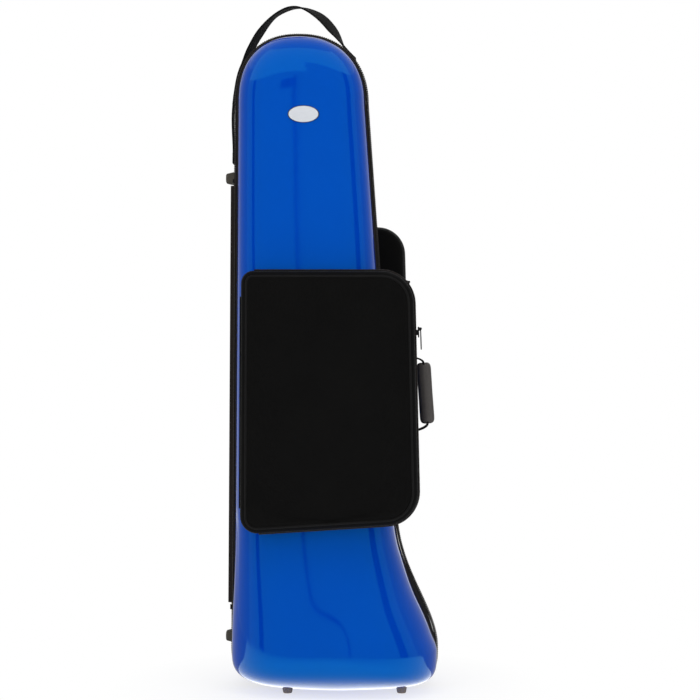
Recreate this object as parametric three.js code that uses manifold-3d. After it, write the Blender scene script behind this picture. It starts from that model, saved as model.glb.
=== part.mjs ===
// Contoured trombone case: two moulded shells, zipped round and hinged down the left side.
// Millimetres, +Z up. The case stands on its bell end and its lid faces -Y.
import * as THREE from 'three';
import { mergeVertices } from 'three/addons/utils/BufferGeometryUtils.js';
import Module from 'manifold-3d';

const wasm = await Module();
wasm.setup();

// Clearances
const fit = 0.35;          // between pieces that touch
const seam = 0.4;          // from the seam plane to each half
const overrun = 30;        // how far a cutting tool runs past what it cuts

// Outline of the shells in the seam plane; X 0 is the middle of the narrow end
const domeHalfWidth = 87.5;
const domeRise = 94;
const domeZ = 828;
const capZ = 60;           // where the rounded bottom begins
const capDrop = 49.5;
const flareTop = 250;      // where the bell flare begins
const flareReach = 45;     // extra width of the flare on the right
const leftLeanShare = 0.006;   // lean of the straight hinge side
const leanShare = 0.07;    // widening of the right side per mm down
const domeRoundShare = 2.3;
const domeLean = 4;        // how far the top of the narrow end leans to the hinge side
const capRoundShare = 3.6;
const capRightRoundShare = 5;
const flareEaseShare = 1.28;

// Depth of each shell
const topDepth = 58;
const taperTop = 640;
const taperSoft = 60;      // length over which the taper sets in
const depthLeanShare = 0.072;
const flareDepth = 22.4;
const shellRoundShare = 3.2;
const bellyReach = 5;      // swelling past the rim at the bell end
const wall = 3;

// Shares of the height between the caps at which the sides are sampled
const levelShares = [0, 0.03, 0.06, 0.092, 0.126, 0.162, 0.203, 0.25, 0.33,
  0.44, 0.56, 0.68, 0.78, 0.87, 0.94, 1];
const domeSteps = 12;
const capSteps = 14;
const ringSteps = 6;
const ringEaseShare = 1.4;

// Rim trim: edge binding, zip and fabric hinge
const bindingThick = 4;
const bindingDepth = 15;
const bindingEdge = 2;
const bindingRelief = 1;
const tapeThick = 1.4;
const tapeWidth = 12;
const coilWidth = 3.2;
const coilRise = 4;
const hingeLow = 118;
const hingeHigh = 713;
const hingeFold = 7.5;     // from the binding out to the fold line
const beadRadius = 1.5;
const leafWidth = 13;
const stopLength = 7;

// Feet
const footRadius = 9;
const footTip = 6.5;
const footSpread = 159;    // between the two bottom feet of a shell
const footX = 61.5;        // middle of the bottom feet
const footY = 60;
const sideFootReach = 22.5;  // past the hinge side at the narrow end
const sideFootInner = 17;  // from the seam plane
const sideFootWidth = 24;
const sideFootLength = 20;
const sideFootTaper = 3;
const sideFootHighZ = 726;
const sideFootLowZ = 66;

// Moulded inserts
const insertFace = 2.6;    // from the seam plane
const bayX = 48.9;         // line that the bell lies on
const insertSplit = 650;   // between the head block and the one below it
const bellSplit = 262;     // over the blocks that hold the bell, and the lower length of the binding
const bellMouth = 108;
const bellFloor = 40;
const tubeRadius = 18;
const tubeTop = 600;
const gooseneckOffset = 107;
const gooseneckFoot = 230;
const tubeDepth = 21;
const slideWidth = 100;
const slideFoot = 150;
const slideTop = 885;
const slideDepth = 42;
const boxWidth = 112;
const boxFoot = 694;
const boxHigh = 846;
const boxDepth = 42;
const boxRound = 14;
const boxLidThick = 3;
const boxLedge = 6;
const mouthpieceLength = 86;
const mouthpieceRim = 15;
const mouthpieceTip = 6;
const mouthpieceLowZ = 316;
const mouthpieceHighZ = 446;
const strapWidth = 25;
const strapThick = 1.4;
const strapLap = 18;

// Pockets: sizes across, and depths from the front of the shell
const pocketLeft = -81.5;
const frontPocket = { right: 163, bottom: 226, top: 588, rounds: [13, 34, 32, 16] };
const backPocket = { right: 152.5, bottom: 304, top: 657, rounds: [25, 38, 30, 22] };
const pocketLeanShare = 0.03;   // lean of the right edge
const pocketRiseShare = 0.062;  // rise of the bottom edge to the right
const pocketBack = 14;     // behind the crown of the shell
const pocketZip = 18;
const pocketDeep = 43;
const pocketWall = 3;
const pocketShoulder = 8;  // how far the front panel draws in
const panelEdge = 6;
const pipingRadius = 1.6;
const pocketTape = 2;
const pocketTapeWidth = 3.6;
const pocketHinge = 2.8;
const cornerSteps = 4;

// Zip sliders and pulls
const sliderLength = 15;
const sliderWidth = 10;
const sliderThick = 1.6;
const flangeThick = 1.2;
const earRise = 3;
const earThick = 1;
const earGap = 3.2;
const pullPin = 0.7;
const pullEye = 1.9;
const pullLength = 29;
const pullWidth = 8;
const pullNeck = 2.6;
const pullThick = 1.4;
const pullRim = 1.7;
const sliderLift = 1;      // over the coil of the main zip
const lowSliderZ = 350;
const highSliderZ = 545;
const pocketSliderShare = 0.765;

// Webbing loop over the narrow end
const webWidth = 26;
const webThick = 2.6;
const webY = 21;
const webTwist = 0.5;
const webSteps = 44;
const tailFoot = 757;
const leftBaseShare = 0.165;   // places of the bases round the narrow end
const rightBaseShare = 0.755;
const baseShare = 0.03;
const webBowShares = [-1.135, -0.085];
const webLoopShares = [[-0.7, 1.13], [-0.4, 1.435], [-0.08, 1.535], [0.27, 1.41], [0.53, 1.16]];
const baseLength = 20;
const baseInner = 15.6;

// Side handle
const handleZ = 412;
const handleSpan = 53;     // from the middle to each anchor
const handleY = 29;
const pinRise = 11;        // pivot line above the shell rim
const pinRadius = 1.6;
const gripRise = 50.7;     // from the pivot line to the grip
const gripLength = 88;
const gripThick = 21;
const gripWidth = 27;
const gripRound = 6;
const handleWeb = 25;
const handleWebThick = 2.4;
const linkWire = 1.9;
const linkLow = 5.2;       // bars of the link above the pivot line
const linkRise = 12.6;
const linkLeg = 15.2;
const earLong = 2;
const knuckle = 3.5;
const knuckleLength = 8;
const anchorPlate = 1.6;
const anchorWidth = 22;
const anchorLength = 26;
const anchorSeat = 4.6;    // from the pivot line down to the plate
const anchorPad = 24;

// Badge
const badgeX = 4;
const badgeZ = 808;
const badgeWidth = 44;
const badgeHeight = 24;
const badgeThick = 1.3;

const finish = (color, roughness, metalness = 0) =>
  new THREE.MeshStandardMaterial({ color, roughness, metalness });
const gelcoat = finish(0x1c4fc4, 0.16);
const binding = finish(0x17171a, 0.55);
const nylon = finish(0x0d0d0f, 0.85);
const webbing = finish(0x121214, 0.8);
const coil = finish(0x1e1c1c, 0.5);
const rubber = finish(0x3a3634, 0.7);
const plush = finish(0x15151a, 0.95);
const darkMetal = finish(0x2a2a2d, 0.35, 0.9);
const leather = finish(0x2e2a2a, 0.6);
const silver = finish(0xc9ccd2, 0.3, 0.9);

const front = -1;
const back = 1;

// Closed solid through a row of rings that all have the same number of points
function loft(rings, { closed = false, cap = null } = {}) {
  const count = rings[0].length;
  const position = rings.flatMap((ring) => ring.flatMap((point) => [point.x, point.y, point.z]));
  const index = [];
  const last = closed ? rings.length : rings.length - 1;
  for (let i = 0; i < last; i += 1) {
    const here = i * count;
    const next = ((i + 1) % rings.length) * count;
    for (let j = 0; j < count; j += 1) {
      const k = (j + 1) % count;
      const near = rings[i];
      const far = rings[(i + 1) % rings.length];
      if (near[j].distanceTo(far[k]) < near[k].distanceTo(far[j])) {
        index.push(here + j, here + k, next + k, here + j, next + k, next + j);
      } else {
        index.push(here + j, here + k, next + j, here + k, next + k, next + j);
      }
    }
  }
  if (cap) {
    const end = (rings.length - 1) * count;
    const turned = THREE.ShapeUtils.isClockWise(cap);
    for (const face of THREE.ShapeUtils.triangulateShape(cap, [])) {
      const [a, b, c] = turned ? face.reverse() : face;
      index.push(c, b, a, end + a, end + b, end + c);
    }
  }
  return weld(position, index);
}

// Merges shared points, drops faces that have collapsed and turns the rest outward
function weld(position, index) {
  const raw = new THREE.BufferGeometry();
  raw.setAttribute('position', new THREE.Float32BufferAttribute(position, 3));
  raw.setIndex(index);
  const merged = mergeVertices(raw);
  const points = merged.attributes.position;
  const [a, b, c] = [new THREE.Vector3(), new THREE.Vector3(), new THREE.Vector3()];
  const kept = [];
  let volume = 0;
  for (let i = 0; i < merged.index.count; i += 3) {
    const corners = [0, 1, 2].map((step) => merged.index.getX(i + step));
    if (new Set(corners).size < 3) continue;
    kept.push(corners);
    a.fromBufferAttribute(points, corners[0]);
    b.fromBufferAttribute(points, corners[1]);
    c.fromBufferAttribute(points, corners[2]);
    volume += a.dot(b.cross(c));
  }
  merged.setIndex(kept.flatMap((corners) => (volume < 0 ? corners.reverse() : corners)));
  return merged;
}

function toSolid(geometry) {
  let merged = geometry;
  if (!geometry.userData.joined) {
    geometry.deleteAttribute('normal');
    geometry.deleteAttribute('uv');
    merged = mergeVertices(geometry);
  }
  return new wasm.Manifold(new wasm.Mesh({
    numProp: 3,
    vertProperties: Float32Array.from(merged.attributes.position.array),
    triVerts: Uint32Array.from(merged.index.array),
  }));
}

function toGeometry(solid) {
  const { vertProperties, triVerts } = solid.getMesh();
  const geometry = new THREE.BufferGeometry();
  geometry.setAttribute('position', new THREE.BufferAttribute(vertProperties, 3));
  geometry.setIndex(new THREE.BufferAttribute(triVerts, 1));
  geometry.userData.joined = true;
  return geometry;
}

const cut = (body, ...tools) => toGeometry(
  tools.reduce((rest, tool) => rest.subtract(toSolid(tool)), toSolid(body)));
const join = (...bodies) => toGeometry(
  bodies.slice(1).reduce((sum, body) => sum.add(toSolid(body)), toSolid(bodies[0])));
const overlap = (body, tool) => toGeometry(toSolid(body).intersect(toSolid(tool)));

function mesh(name, geometry, material) {
  geometry.computeVertexNormals();
  const made = new THREE.Mesh(geometry, material);
  made.name = name;
  return made;
}

// Rounded corner of an outline, as points
function arc(x, z, radius, from, to, steps) {
  return Array.from({ length: steps + 1 }, (_, i) => {
    const angle = from + (to - from) * i / steps;
    return new THREE.Vector2(x + radius * Math.cos(angle), z + radius * Math.sin(angle));
  });
}

const turning = (points, clockwise) =>
  (THREE.ShapeUtils.isClockWise(points) === clockwise ? points : [...points].reverse());

// Plate between two Y values with the given outline in X and Z
function plate(outline, nearY, farY, holes = []) {
  const shape = new THREE.Shape(turning(outline, false));
  shape.holes = holes.map((hole) => new THREE.Path(turning(hole, true)));
  const geometry = new THREE.ExtrudeGeometry(shape, { depth: farY - nearY, bevelEnabled: false });
  geometry.rotateX(Math.PI / 2).translate(0, farY, 0);
  return geometry;
}

const block = (x0, x1, y0, y1, z0, z1) => new THREE.BoxGeometry(x1 - x0, y1 - y0, z1 - z0)
  .translate((x0 + x1) / 2, (y0 + y1) / 2, (z0 + z1) / 2);

function roundedRect(left, right, bottom, top, rounds, steps = cornerSteps) {
  const [a, b, c, d] = rounds;
  return [
    ...arc(left + a, top - a, a, Math.PI, Math.PI / 2, steps),
    ...arc(right - b, top - b, b, Math.PI / 2, 0, steps),
    ...arc(right - c, bottom + c, c, 0, -Math.PI / 2, steps),
    ...arc(left + d, bottom + d, d, -Math.PI / 2, -Math.PI, steps),
  ];
}

// Outline of the seam plane
const ramp = (run) => (run + Math.hypot(run, taperSoft)) / 2;
function flareAt(z) {
  const t = THREE.MathUtils.clamp((flareTop - z) / (flareTop - capZ), 0, 1) ** flareEaseShare;
  return t * t * (3 - 2 * t);
}
const depthAt = (z) => topDepth + ramp(taperTop - z) * depthLeanShare + flareDepth * flareAt(z);
const leftAt = (z) => -domeHalfWidth - (domeZ - z) * leftLeanShare;
const rightAt = (z) => domeHalfWidth + (domeZ - z) * leanShare + flareReach * flareAt(z);
const capX = (leftAt(capZ) + rightAt(capZ)) / 2;
const capHalfWidth = (rightAt(capZ) - leftAt(capZ)) / 2;
const levels = levelShares.map((share) => capZ + (domeZ - capZ) * share);

// Points of the narrow end and of the bell end, at an angle from 0 to a half turn
function domePlace(angle) {
  const across = Math.abs(Math.cos(angle)) ** (2 / domeRoundShare) * Math.sign(Math.cos(angle));
  const up = Math.sin(angle) ** (2 / domeRoundShare);
  return new THREE.Vector2(-domeHalfWidth * across - domeLean * up * up, domeZ + domeRise * up);
}
function capPlace(angle) {
  const share = 2 / (angle < Math.PI / 2 ? capRightRoundShare : capRoundShare);
  const across = Math.abs(Math.cos(angle)) ** share * Math.sign(Math.cos(angle));
  return new THREE.Vector2(capX + capHalfWidth * across, capZ - capDrop * Math.sin(angle) ** share);
}

// Stations clockwise round the rim, seen from the front, each with the spine point it leans to
function rimStations() {
  const rim = [];
  const add = (x, z, spineX, spineZ) => rim.push({ x, z, spineX, spineZ });
  const middle = (z) => (leftAt(z) + rightAt(z)) / 2;
  for (const z of levels) add(leftAt(z), z, middle(z), z);
  for (let i = 1; i < domeSteps; i += 1) {
    const at = domePlace(Math.PI * i / domeSteps);
    add(at.x, at.y, 0, domeZ);
  }
  for (const z of [...levels].reverse()) add(rightAt(z), z, middle(z), z);
  for (let i = 1; i < capSteps; i += 1) {
    const at = capPlace(Math.PI * i / capSteps);
    add(at.x, at.y, capX, capZ);
  }
  rim.forEach((station, i) => {
    const before = rim[(i + rim.length - 1) % rim.length];
    const after = rim[(i + 1) % rim.length];
    const normal = new THREE.Vector2(before.z - after.z, after.x - before.x).normalize();
    station.outX = normal.x;
    station.outZ = normal.y;
  });
  return rim;
}
const rim = rimStations();

// Place on a side of the rim at any height
function sideAt(z, right) {
  const edge = right ? rightAt : leftAt;
  const slope = edge(z + seam) - edge(z - seam);
  const normal = right
    ? new THREE.Vector2(2 * seam, -slope).normalize()
    : new THREE.Vector2(-2 * seam, slope).normalize();
  return { x: edge(z), z, outX: normal.x, outZ: normal.y };
}

// Place round the narrow end, from the hinge side at 0 to the other side at 1
function domeAt(share) {
  const at = domePlace(Math.PI * share);
  const along = domePlace(Math.PI * (share + 0.001)).sub(at).normalize();
  return { x: at.x, z: at.y, outX: -along.y, outZ: along.x };
}

// Rings of a half shell from its spine out to the rim, grown or shrunk by an offset
function shellRings(side, offset) {
  const rings = [];
  for (let step = ringSteps; step >= 0; step -= 1) {
    const angle = Math.PI / 2 * (step / ringSteps) ** ringEaseShare;
    const out = step === ringSteps ? 0 : Math.cos(angle) ** (2 / shellRoundShare);
    const rise = step === 0 ? 0 : Math.sin(angle) ** (2 / shellRoundShare);
    rings.push(rim.map((station) => {
      const reach = new THREE.Vector2(
        station.x + station.outX * offset - station.spineX,
        station.z + station.outZ * offset - station.spineZ,
      );
      const swell = out === 0 ? 0
        : bellyReach * flareAt(station.z) * Math.sin(Math.PI * rise) ** 2 / reach.length();
      const x = station.spineX + reach.x * (out + swell);
      const z = station.spineZ + reach.y * (out + swell);
      return new THREE.Vector3(x, side * (seam + (depthAt(z) + offset - seam) * rise), z);
    }));
  }
  return rings;
}

const shellSkin = (side) => loft([
  ...shellRings(side, 0),
  ...shellRings(side, -wall).reverse(),
]);

// Filled half shell, carried straight on from its rim to a flat face
function shellFill(side, offset, past = -overrun) {
  const rings = shellRings(side, offset);
  const last = rings.at(-1).map((at) => new THREE.Vector3(at.x, side * past, at.z));
  const spine = rim.map((at) => new THREE.Vector3(at.spineX, side * past, at.spineZ));
  return loft([...rings, last, spine]);
}

// Strip with a section of (out, depth) points carried along places on the rim
function strip(path, section, side, closed) {
  const rings = path.map((at) => section.map(([out, depth]) =>
    new THREE.Vector3(at.x + at.outX * out, side * depth, at.z + at.outZ * out)));
  return loft(rings, { closed, cap: closed ? null : section.map((at) => new THREE.Vector2(...at)) });
}

const bindingTop = fit + bindingThick;
const tapeFoot = bindingTop + fit;
const coilTop = tapeFoot + coilRise;
const foldOut = bindingTop + hingeFold;
const foldAt = (z) => {
  const at = sideAt(z, false);
  return new THREE.Vector3(at.x + at.outX * foldOut, 0, z);
};

const bindingSection = [
  [fit, seam], [bindingTop, seam], [bindingTop, bindingDepth - bindingEdge],
  [bindingTop - bindingEdge, bindingDepth], [fit + bindingRelief, bindingDepth],
];
const zipSection = [
  [tapeFoot, seam], [coilTop, seam], [coilTop, coilWidth], [tapeFoot + tapeThick, coilWidth],
  [tapeFoot + tapeThick, tapeWidth], [tapeFoot, tapeWidth],
];
const leafRise = hingeFold - fit - beadRadius - fit;
const leafSection = [
  [tapeFoot, seam], [bindingTop + leafRise, seam], [bindingTop + leafRise, seam + beadRadius],
  [tapeFoot + tapeThick, seam + 3 * beadRadius], [tapeFoot + tapeThick, leafWidth],
  [tapeFoot, leafWidth],
];

const leafPath = [0, 0.05, 0.1, 0.16, 0.22, 0.5, 1]
  .map((share) => sideAt(hingeLow + (hingeHigh - hingeLow) * share, false));
const zipPath = [
  ...rim.filter((at, i) => i < levels.length && at.z > hingeHigh + fit),
  ...rim.slice(levels.length),
  ...rim.filter((at, i) => i < levels.length && at.z < hingeLow - fit),
];
zipPath.unshift(sideAt(hingeHigh + fit, false));
zipPath.push(sideAt(hingeLow - fit, false));

// Feet: studs that seat on the moulded surface
function bottomFoot(side, x) {
  const stud = new THREE.CylinderGeometry(footRadius, footTip, capZ, 14);
  stud.rotateX(Math.PI / 2).translate(x, side * footY, capZ / 2);
  return cut(stud, shellFill(side, fit));
}
function sideFoot(side, z) {
  const ring = (x, trim) => [[-1, -1], [1, -1], [1, 1], [-1, 1]].map(([a, b]) => new THREE.Vector3(
    x, side * (sideFootInner + sideFootWidth / 2) + a * (sideFootWidth / 2 - trim),
    z + b * (sideFootLength / 2 - trim)));
  const corners = [[-1, -1], [1, -1], [1, 1], [-1, 1]].map((at) => new THREE.Vector2(...at));
  const outer = -domeHalfWidth - sideFootReach;
  const stud = loft([
    ring(outer, sideFootTaper + sideFootTaper / 2), ring(outer + sideFootTaper / 2, sideFootTaper),
    ring(-domeHalfWidth + overrun, 0),
  ], { cap: corners });
  return cut(stud, shellFill(side, fit));
}

// Bay for the bell section, turned about the axis that the bell lies on
function bellBay() {
  const throat = flareTop - bellFloor;
  const profile = [
    [0, 0], [bellMouth, 0], [bellMouth, 0.09], [0.8 * bellMouth, 0.17], [0.6 * bellMouth, 0.29],
    [0.42 * bellMouth, 0.46], [0.29 * bellMouth, 0.75], [0.21 * bellMouth, 1.2],
    [tubeRadius, 1.9], [0, 1.9],
  ].map(([radius, heightShare]) => new THREE.Vector2(radius, bellFloor + throat * heightShare));
  return new THREE.LatheGeometry(profile, 24).rotateX(Math.PI / 2).translate(bayX, 0, 0);
}

// Bay for the tuning slide bow and the gooseneck
function tubeBay(side) {
  const right = bayX + tubeRadius;
  const left = bayX - gooseneckOffset - tubeRadius;
  const bow = (right - left) / 2;
  const middle = (right + left) / 2;
  const inner = bow - 2 * tubeRadius;
  const top = tubeTop - bow + tubeRadius;
  const outline = [
    new THREE.Vector2(left, gooseneckFoot),
    ...arc(middle, top, bow, Math.PI, 0, 10),
    new THREE.Vector2(right, flareTop), new THREE.Vector2(right - 2 * tubeRadius, flareTop),
    ...arc(middle, top, inner, 0, Math.PI, 8),
    new THREE.Vector2(left + 2 * tubeRadius, gooseneckFoot),
  ];
  const [near, far] = side === back ? [0, tubeDepth] : [-tubeDepth, 0];
  return plate(outline, near, far);
}

// Rest for a mouthpiece, between the tubes
function mouthpieceRest(z) {
  const middle = bayX - gooseneckOffset / 2;
  return new THREE.CylinderGeometry(mouthpieceRim, mouthpieceTip, mouthpieceLength, 12)
    .rotateX(Math.PI / 2).translate(middle, 0, z);
}

const boxOutline = (grow) => roundedRect(-boxWidth / 2 - grow, boxWidth / 2 + grow,
  boxFoot - grow, boxHigh + grow, Array(4).fill(boxRound + grow), 3);

// Foam that fills a half shell up to a face just short of the seam
const filling = (side) => cut(shellFill(side, -wall - fit),
  plate(roundedRect(-overrun - domeRise * 2, overrun + capHalfWidth * 2, -overrun,
    domeZ + domeRise + overrun, Array(4).fill(overrun), 1),
  Math.min(side * insertFace, -side * 2 * overrun), Math.max(side * insertFace, -side * 2 * overrun)));

// What is left of a shape above or below a level
const across = (low, high) => block(-overrun - 2 * domeRise, overrun + 2 * capHalfWidth,
  -2 * overrun - 2 * topDepth, 2 * overrun + 2 * topDepth, low, high);
const above = (z) => across(-overrun, z + fit);
const below = (z) => across(z, domeZ + 2 * domeRise);

// The foam of the back half is three blocks, one above the other
const backBlock = (...tools) => cut(
  filling(back), ...tools, bellBay(), tubeBay(back),
  mouthpieceRest(mouthpieceLowZ), mouthpieceRest(mouthpieceHighZ),
);
const backInsertBell = () => backBlock(below(bellSplit));
const backInsert = () => backBlock(above(bellSplit), below(insertSplit));
const backInsertHead = () => cut(
  filling(back), above(insertSplit), plate(boxOutline(0), 0, boxDepth),
  plate(boxOutline(boxLedge), 0, insertFace + boxLidThick + fit),
);

// That of the front half is two
function frontInsert(tool) {
  const slot = roundedRect(-slideWidth / 2, slideWidth / 2, slideFoot, slideTop,
    [slideWidth * 0.48, slideWidth * 0.48, boxRound, boxRound]);
  return cut(filling(front), tool, bellBay(), tubeBay(front),
    plate(slot, -slideDepth, 0));
}

// Strap that lies over a bay, fixed at both ends on the face of the insert
function holdStrap(side, left, right, z) {
  const near = insertFace - fit - strapThick;
  const far = insertFace - fit;
  const [y0, y1] = side === back ? [near, far] : [-far, -near];
  return block(left - strapLap, right + strapLap, y0, y1, z - strapWidth / 2, z + strapWidth / 2);
}

// Right edge of a pocket, which leans with the side of the case
const pocketRight = ({ right, bottom, top }, z) =>
  right + ((bottom + top) / 2 - z) * pocketLeanShare;

// Outline of a pocket with rounded corners, clockwise from the top left, drawn in by an inset
function pocketOutline(size, inset) {
  const rise = (size.right - pocketLeft) * pocketRiseShare;
  const corners = [
    new THREE.Vector2(pocketLeft, size.top),
    new THREE.Vector2(pocketRight(size, size.top), size.top),
    new THREE.Vector2(pocketRight(size, size.bottom + rise), size.bottom + rise),
    new THREE.Vector2(pocketLeft, size.bottom),
  ];
  const inward = corners.map((at, i) => {
    const along = corners[(i + 1) % 4].clone().sub(at).normalize();
    return new THREE.Vector2(along.y, -along.x);
  });
  return corners.flatMap((at, i) => {
    const before = inward[(i + 3) % 4];
    const cosine = before.dot(inward[i]);
    const round = Math.max(size.rounds[i] - inset, size.rounds[i] / 4);
    const middle = before.clone().add(inward[i])
      .multiplyScalar((inset + round) / (1 + cosine)).add(at);
    const from = Math.atan2(-before.y, -before.x);
    return arc(middle.x, middle.y, round, from, from - Math.acos(cosine), cornerSteps);
  });
}

// Pockets: everything is parallel to the taper of the shell
function pocketPlaces(side, size) {
  const middleZ = (size.bottom + size.top) / 2;
  const base = (z) => depthAt(middleZ) + (middleZ - z) * depthLeanShare;
  const outline = (inset) => pocketOutline(size, inset);
  const lay = (points, depth) => points.map((at) =>
    new THREE.Vector3(at.x, side * (base(at.y) + depth), at.y));
  return { base, outline, lay, middleZ, cap: outline(0) };
}

function pocketBody(side, size) {
  const { outline, lay, cap } = pocketPlaces(side, size);
  const rimDepth = pocketZip - seam;
  const outer = loft([
    lay(outline(panelEdge), -pocketBack), lay(outline(panelEdge / 3), -pocketBack + panelEdge),
    lay(outline(0), 0), lay(outline(0), rimDepth),
  ], { cap });
  const inner = loft([
    lay(outline(panelEdge + pocketWall), -pocketBack + pocketWall),
    lay(outline(panelEdge / 3 + pocketWall), -pocketBack + panelEdge),
    lay(outline(pocketWall), 0), lay(outline(pocketWall), rimDepth + overrun),
  ], { cap });
  const hollow = cut(inner, shellFill(side, fit + pocketWall));
  return cut(outer, shellFill(side, fit), hollow);
}

function pocketPanel(side, size) {
  const { outline, lay, cap } = pocketPlaces(side, size);
  const rimDepth = pocketZip + seam;
  const inner = pocketShoulder + pocketWall;
  return loft([
    lay(outline(inner), pocketDeep - pocketWall),
    lay(outline(panelEdge / 3 + pocketWall), pocketDeep - pocketWall - panelEdge),
    lay(outline(pocketWall), rimDepth),
    lay(outline(0), rimDepth),
    lay(outline(panelEdge / 3), pocketDeep - 2 * panelEdge),
    lay(outline(pocketShoulder - panelEdge / 6), pocketDeep - panelEdge),
    lay(outline(pocketShoulder + panelEdge / 1.5), pocketDeep),
  ], { cap });
}

// Half of a pocket zip, round the top, the right side and the bottom
function pocketZipHalf(side, size, outward) {
  const { outline, lay } = pocketPlaces(side, size);
  const near = pocketZip + outward * seam;
  const far = pocketZip + outward * pocketTapeWidth;
  const open = (points) => points.slice(2, -2);
  const corners = [
    lay(open(outline(-fit)), near), lay(open(outline(-fit - pocketTape)), near),
    lay(open(outline(-fit - pocketTape)), far), lay(open(outline(-fit)), far),
  ];
  const rings = corners[0].map((_, i) => corners.map((line) => line[i]));
  const cap = [[0, 0], [1, 0], [1, 1], [0, 1]].map((at) => new THREE.Vector2(...at));
  return loft(rings, { cap });
}

function pocketPiping(side, size) {
  const { outline, lay } = pocketPlaces(side, size);
  const inset = pocketShoulder + panelEdge * 0.06;
  const depth = pocketDeep - panelEdge * 0.2;
  const rings = Array.from({ length: 6 }, (_, i) => {
    const angle = Math.PI * i / 3;
    return lay(outline(inset + pipingRadius * Math.cos(angle)), depth + pipingRadius * Math.sin(angle));
  });
  return loft(rings, { closed: true });
}

// Slider that clips over the fixed half of a zip; X is outward, Z runs along the zip
function slider(side, top, half) {
  const plan = roundedRect(-sliderWidth / 2, sliderWidth / 2, -sliderLength / 2, sliderLength / 2,
    Array(4).fill(sliderWidth * 0.4), 3);
  const shell = plate(plan, 0, sliderThick).rotateZ(Math.PI / 2).translate(top + sliderThick, 0, 0);
  const inner = side * (half + fit);
  const outer = inner + side * flangeThick;
  const flange = block(top - 1.3 * sliderThick, top + sliderThick / 2,
    Math.min(inner, outer), Math.max(inner, outer), -sliderLength / 4, sliderLength / 4);
  const ears = [-1, 1].map((end) => {
    const from = end * earGap / 2;
    const to = end * (earGap / 2 + earThick);
    return block(top + sliderThick / 2, top + sliderThick + earRise,
      Math.min(from, to), Math.max(from, to), sliderLength / 2 - 2 * pullEye - earThick,
      sliderLength / 2 - earThick);
  });
  const pin = new THREE.CylinderGeometry(pullPin, pullPin, earGap + earThick, 10)
    .translate(pullAxisX(top), 0, pullAxisZ);
  return join(shell, flange, ...ears, pin);
}
const pullAxisZ = sliderLength / 2 - earThick - pullEye;
const pullAxisX = (top) => top + sliderThick + pullEye + fit;

// Open loop pull that hangs from the pin of its slider; the origin is on the pin
function pull() {
  const neck = pullNeck / 2;
  const half = pullWidth / 2;
  const foot = -pullLength + half;
  const outline = [
    ...arc(0, foot, half, 0, -Math.PI, 8),
    new THREE.Vector2(-half, foot / 2), new THREE.Vector2(-neck, -2 * pullEye),
    new THREE.Vector2(-neck, 0), new THREE.Vector2(neck, 0),
    new THREE.Vector2(neck, -2 * pullEye), new THREE.Vector2(half, foot / 2),
  ];
  const hole = [
    ...arc(0, foot, half - pullRim, 0, -Math.PI, 6),
    new THREE.Vector2(-half + pullRim, foot / 2 - pullRim),
    new THREE.Vector2(half - pullRim, foot / 2 - pullRim),
  ];
  const tab = plate(outline, -pullThick / 2, pullThick / 2, [hole]).rotateZ(Math.PI / 2);
  const eye = new THREE.CylinderGeometry(pullEye, pullEye, pullNeck, 12);
  const bore = new THREE.CylinderGeometry(pullPin + fit, pullPin + fit, overrun, 10);
  return cut(join(tab, eye), bore);
}

const webCentre = coilTop + fit + webThick / 2;

// Centre line of the webbing: up the left side, over the narrow end, down to the right base
function webCurve() {
  const onRim = (at) => new THREE.Vector3(at.x + at.outX * webCentre, webY, at.z + at.outZ * webCentre);
  const onTail = (along) => onRim(sideAt(tailFoot + along, false));
  const onDome = (share) => onRim(domeAt(share));
  const free = ([across, up]) => new THREE.Vector3(
    across * domeHalfWidth, webY, domeZ + up * domeRise);
  return new THREE.CatmullRomCurve3([
    onTail(-baseLength / 2), onTail(baseLength / 2), free(webBowShares),
    onDome(leftBaseShare - baseShare), onDome(leftBaseShare + baseShare),
    ...webLoopShares.map(free),
    onDome(rightBaseShare - baseShare), onDome(rightBaseShare + baseShare),
  ], false, 'centripetal');
}

// Webbing, or the room that it takes up with a clearance round it
function webLoop(room = 0) {
  const curve = webCurve();
  const rings = Array.from({ length: webSteps + 1 }, (_, i) => {
    const share = i / webSteps;
    const at = curve.getPointAt(share);
    const along = curve.getTangentAt(share);
    const out = new THREE.Vector3(-along.z, 0, along.x);
    const free = THREE.MathUtils.smoothstep(share, 0.64, 0.82)
      * (1 - THREE.MathUtils.smoothstep(share, 0.84, 0.96));
    const wide = new THREE.Vector3(0, 1, 0).applyAxisAngle(along, webTwist * free);
    out.applyAxisAngle(along, webTwist * free);
    return [[-1, -1], [1, -1], [1, 1], [-1, 1]].map(([a, b]) => at.clone()
      .addScaledVector(wide, a * (webWidth / 2 + room))
      .addScaledVector(out, b * (webThick / 2 + room)));
  });
  const cap = [[-1, -1], [1, -1], [1, 1], [-1, 1]].map((at) => new THREE.Vector2(...at));
  return loft(rings, { cap });
}

// Moulded base between the shell and the webbing, behind the binding
function webBase(at) {
  const far = webY + webWidth / 2;
  const foot = block(-overrun, webCentre, baseInner, far, -baseLength / 2, baseLength / 2);
  foot.rotateY(-Math.atan2(at.outZ, at.outX)).translate(at.x, 0, at.z);
  return cut(foot, shellFill(back, fit), webLoop(fit));
}

// Side handle, in its own frame: X outward from the pivot line, Z along the side
const handleAt = sideAt(handleZ, true);
const handleTurn = -Math.atan2(handleAt.outZ, handleAt.outX);
const handleOrigin = new THREE.Vector3(
  handleAt.x + handleAt.outX * pinRise, handleY, handleAt.z + handleAt.outZ * pinRise);
const handleMatrix = new THREE.Matrix4()
  .makeRotationY(handleTurn).setPosition(handleOrigin);

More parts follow.
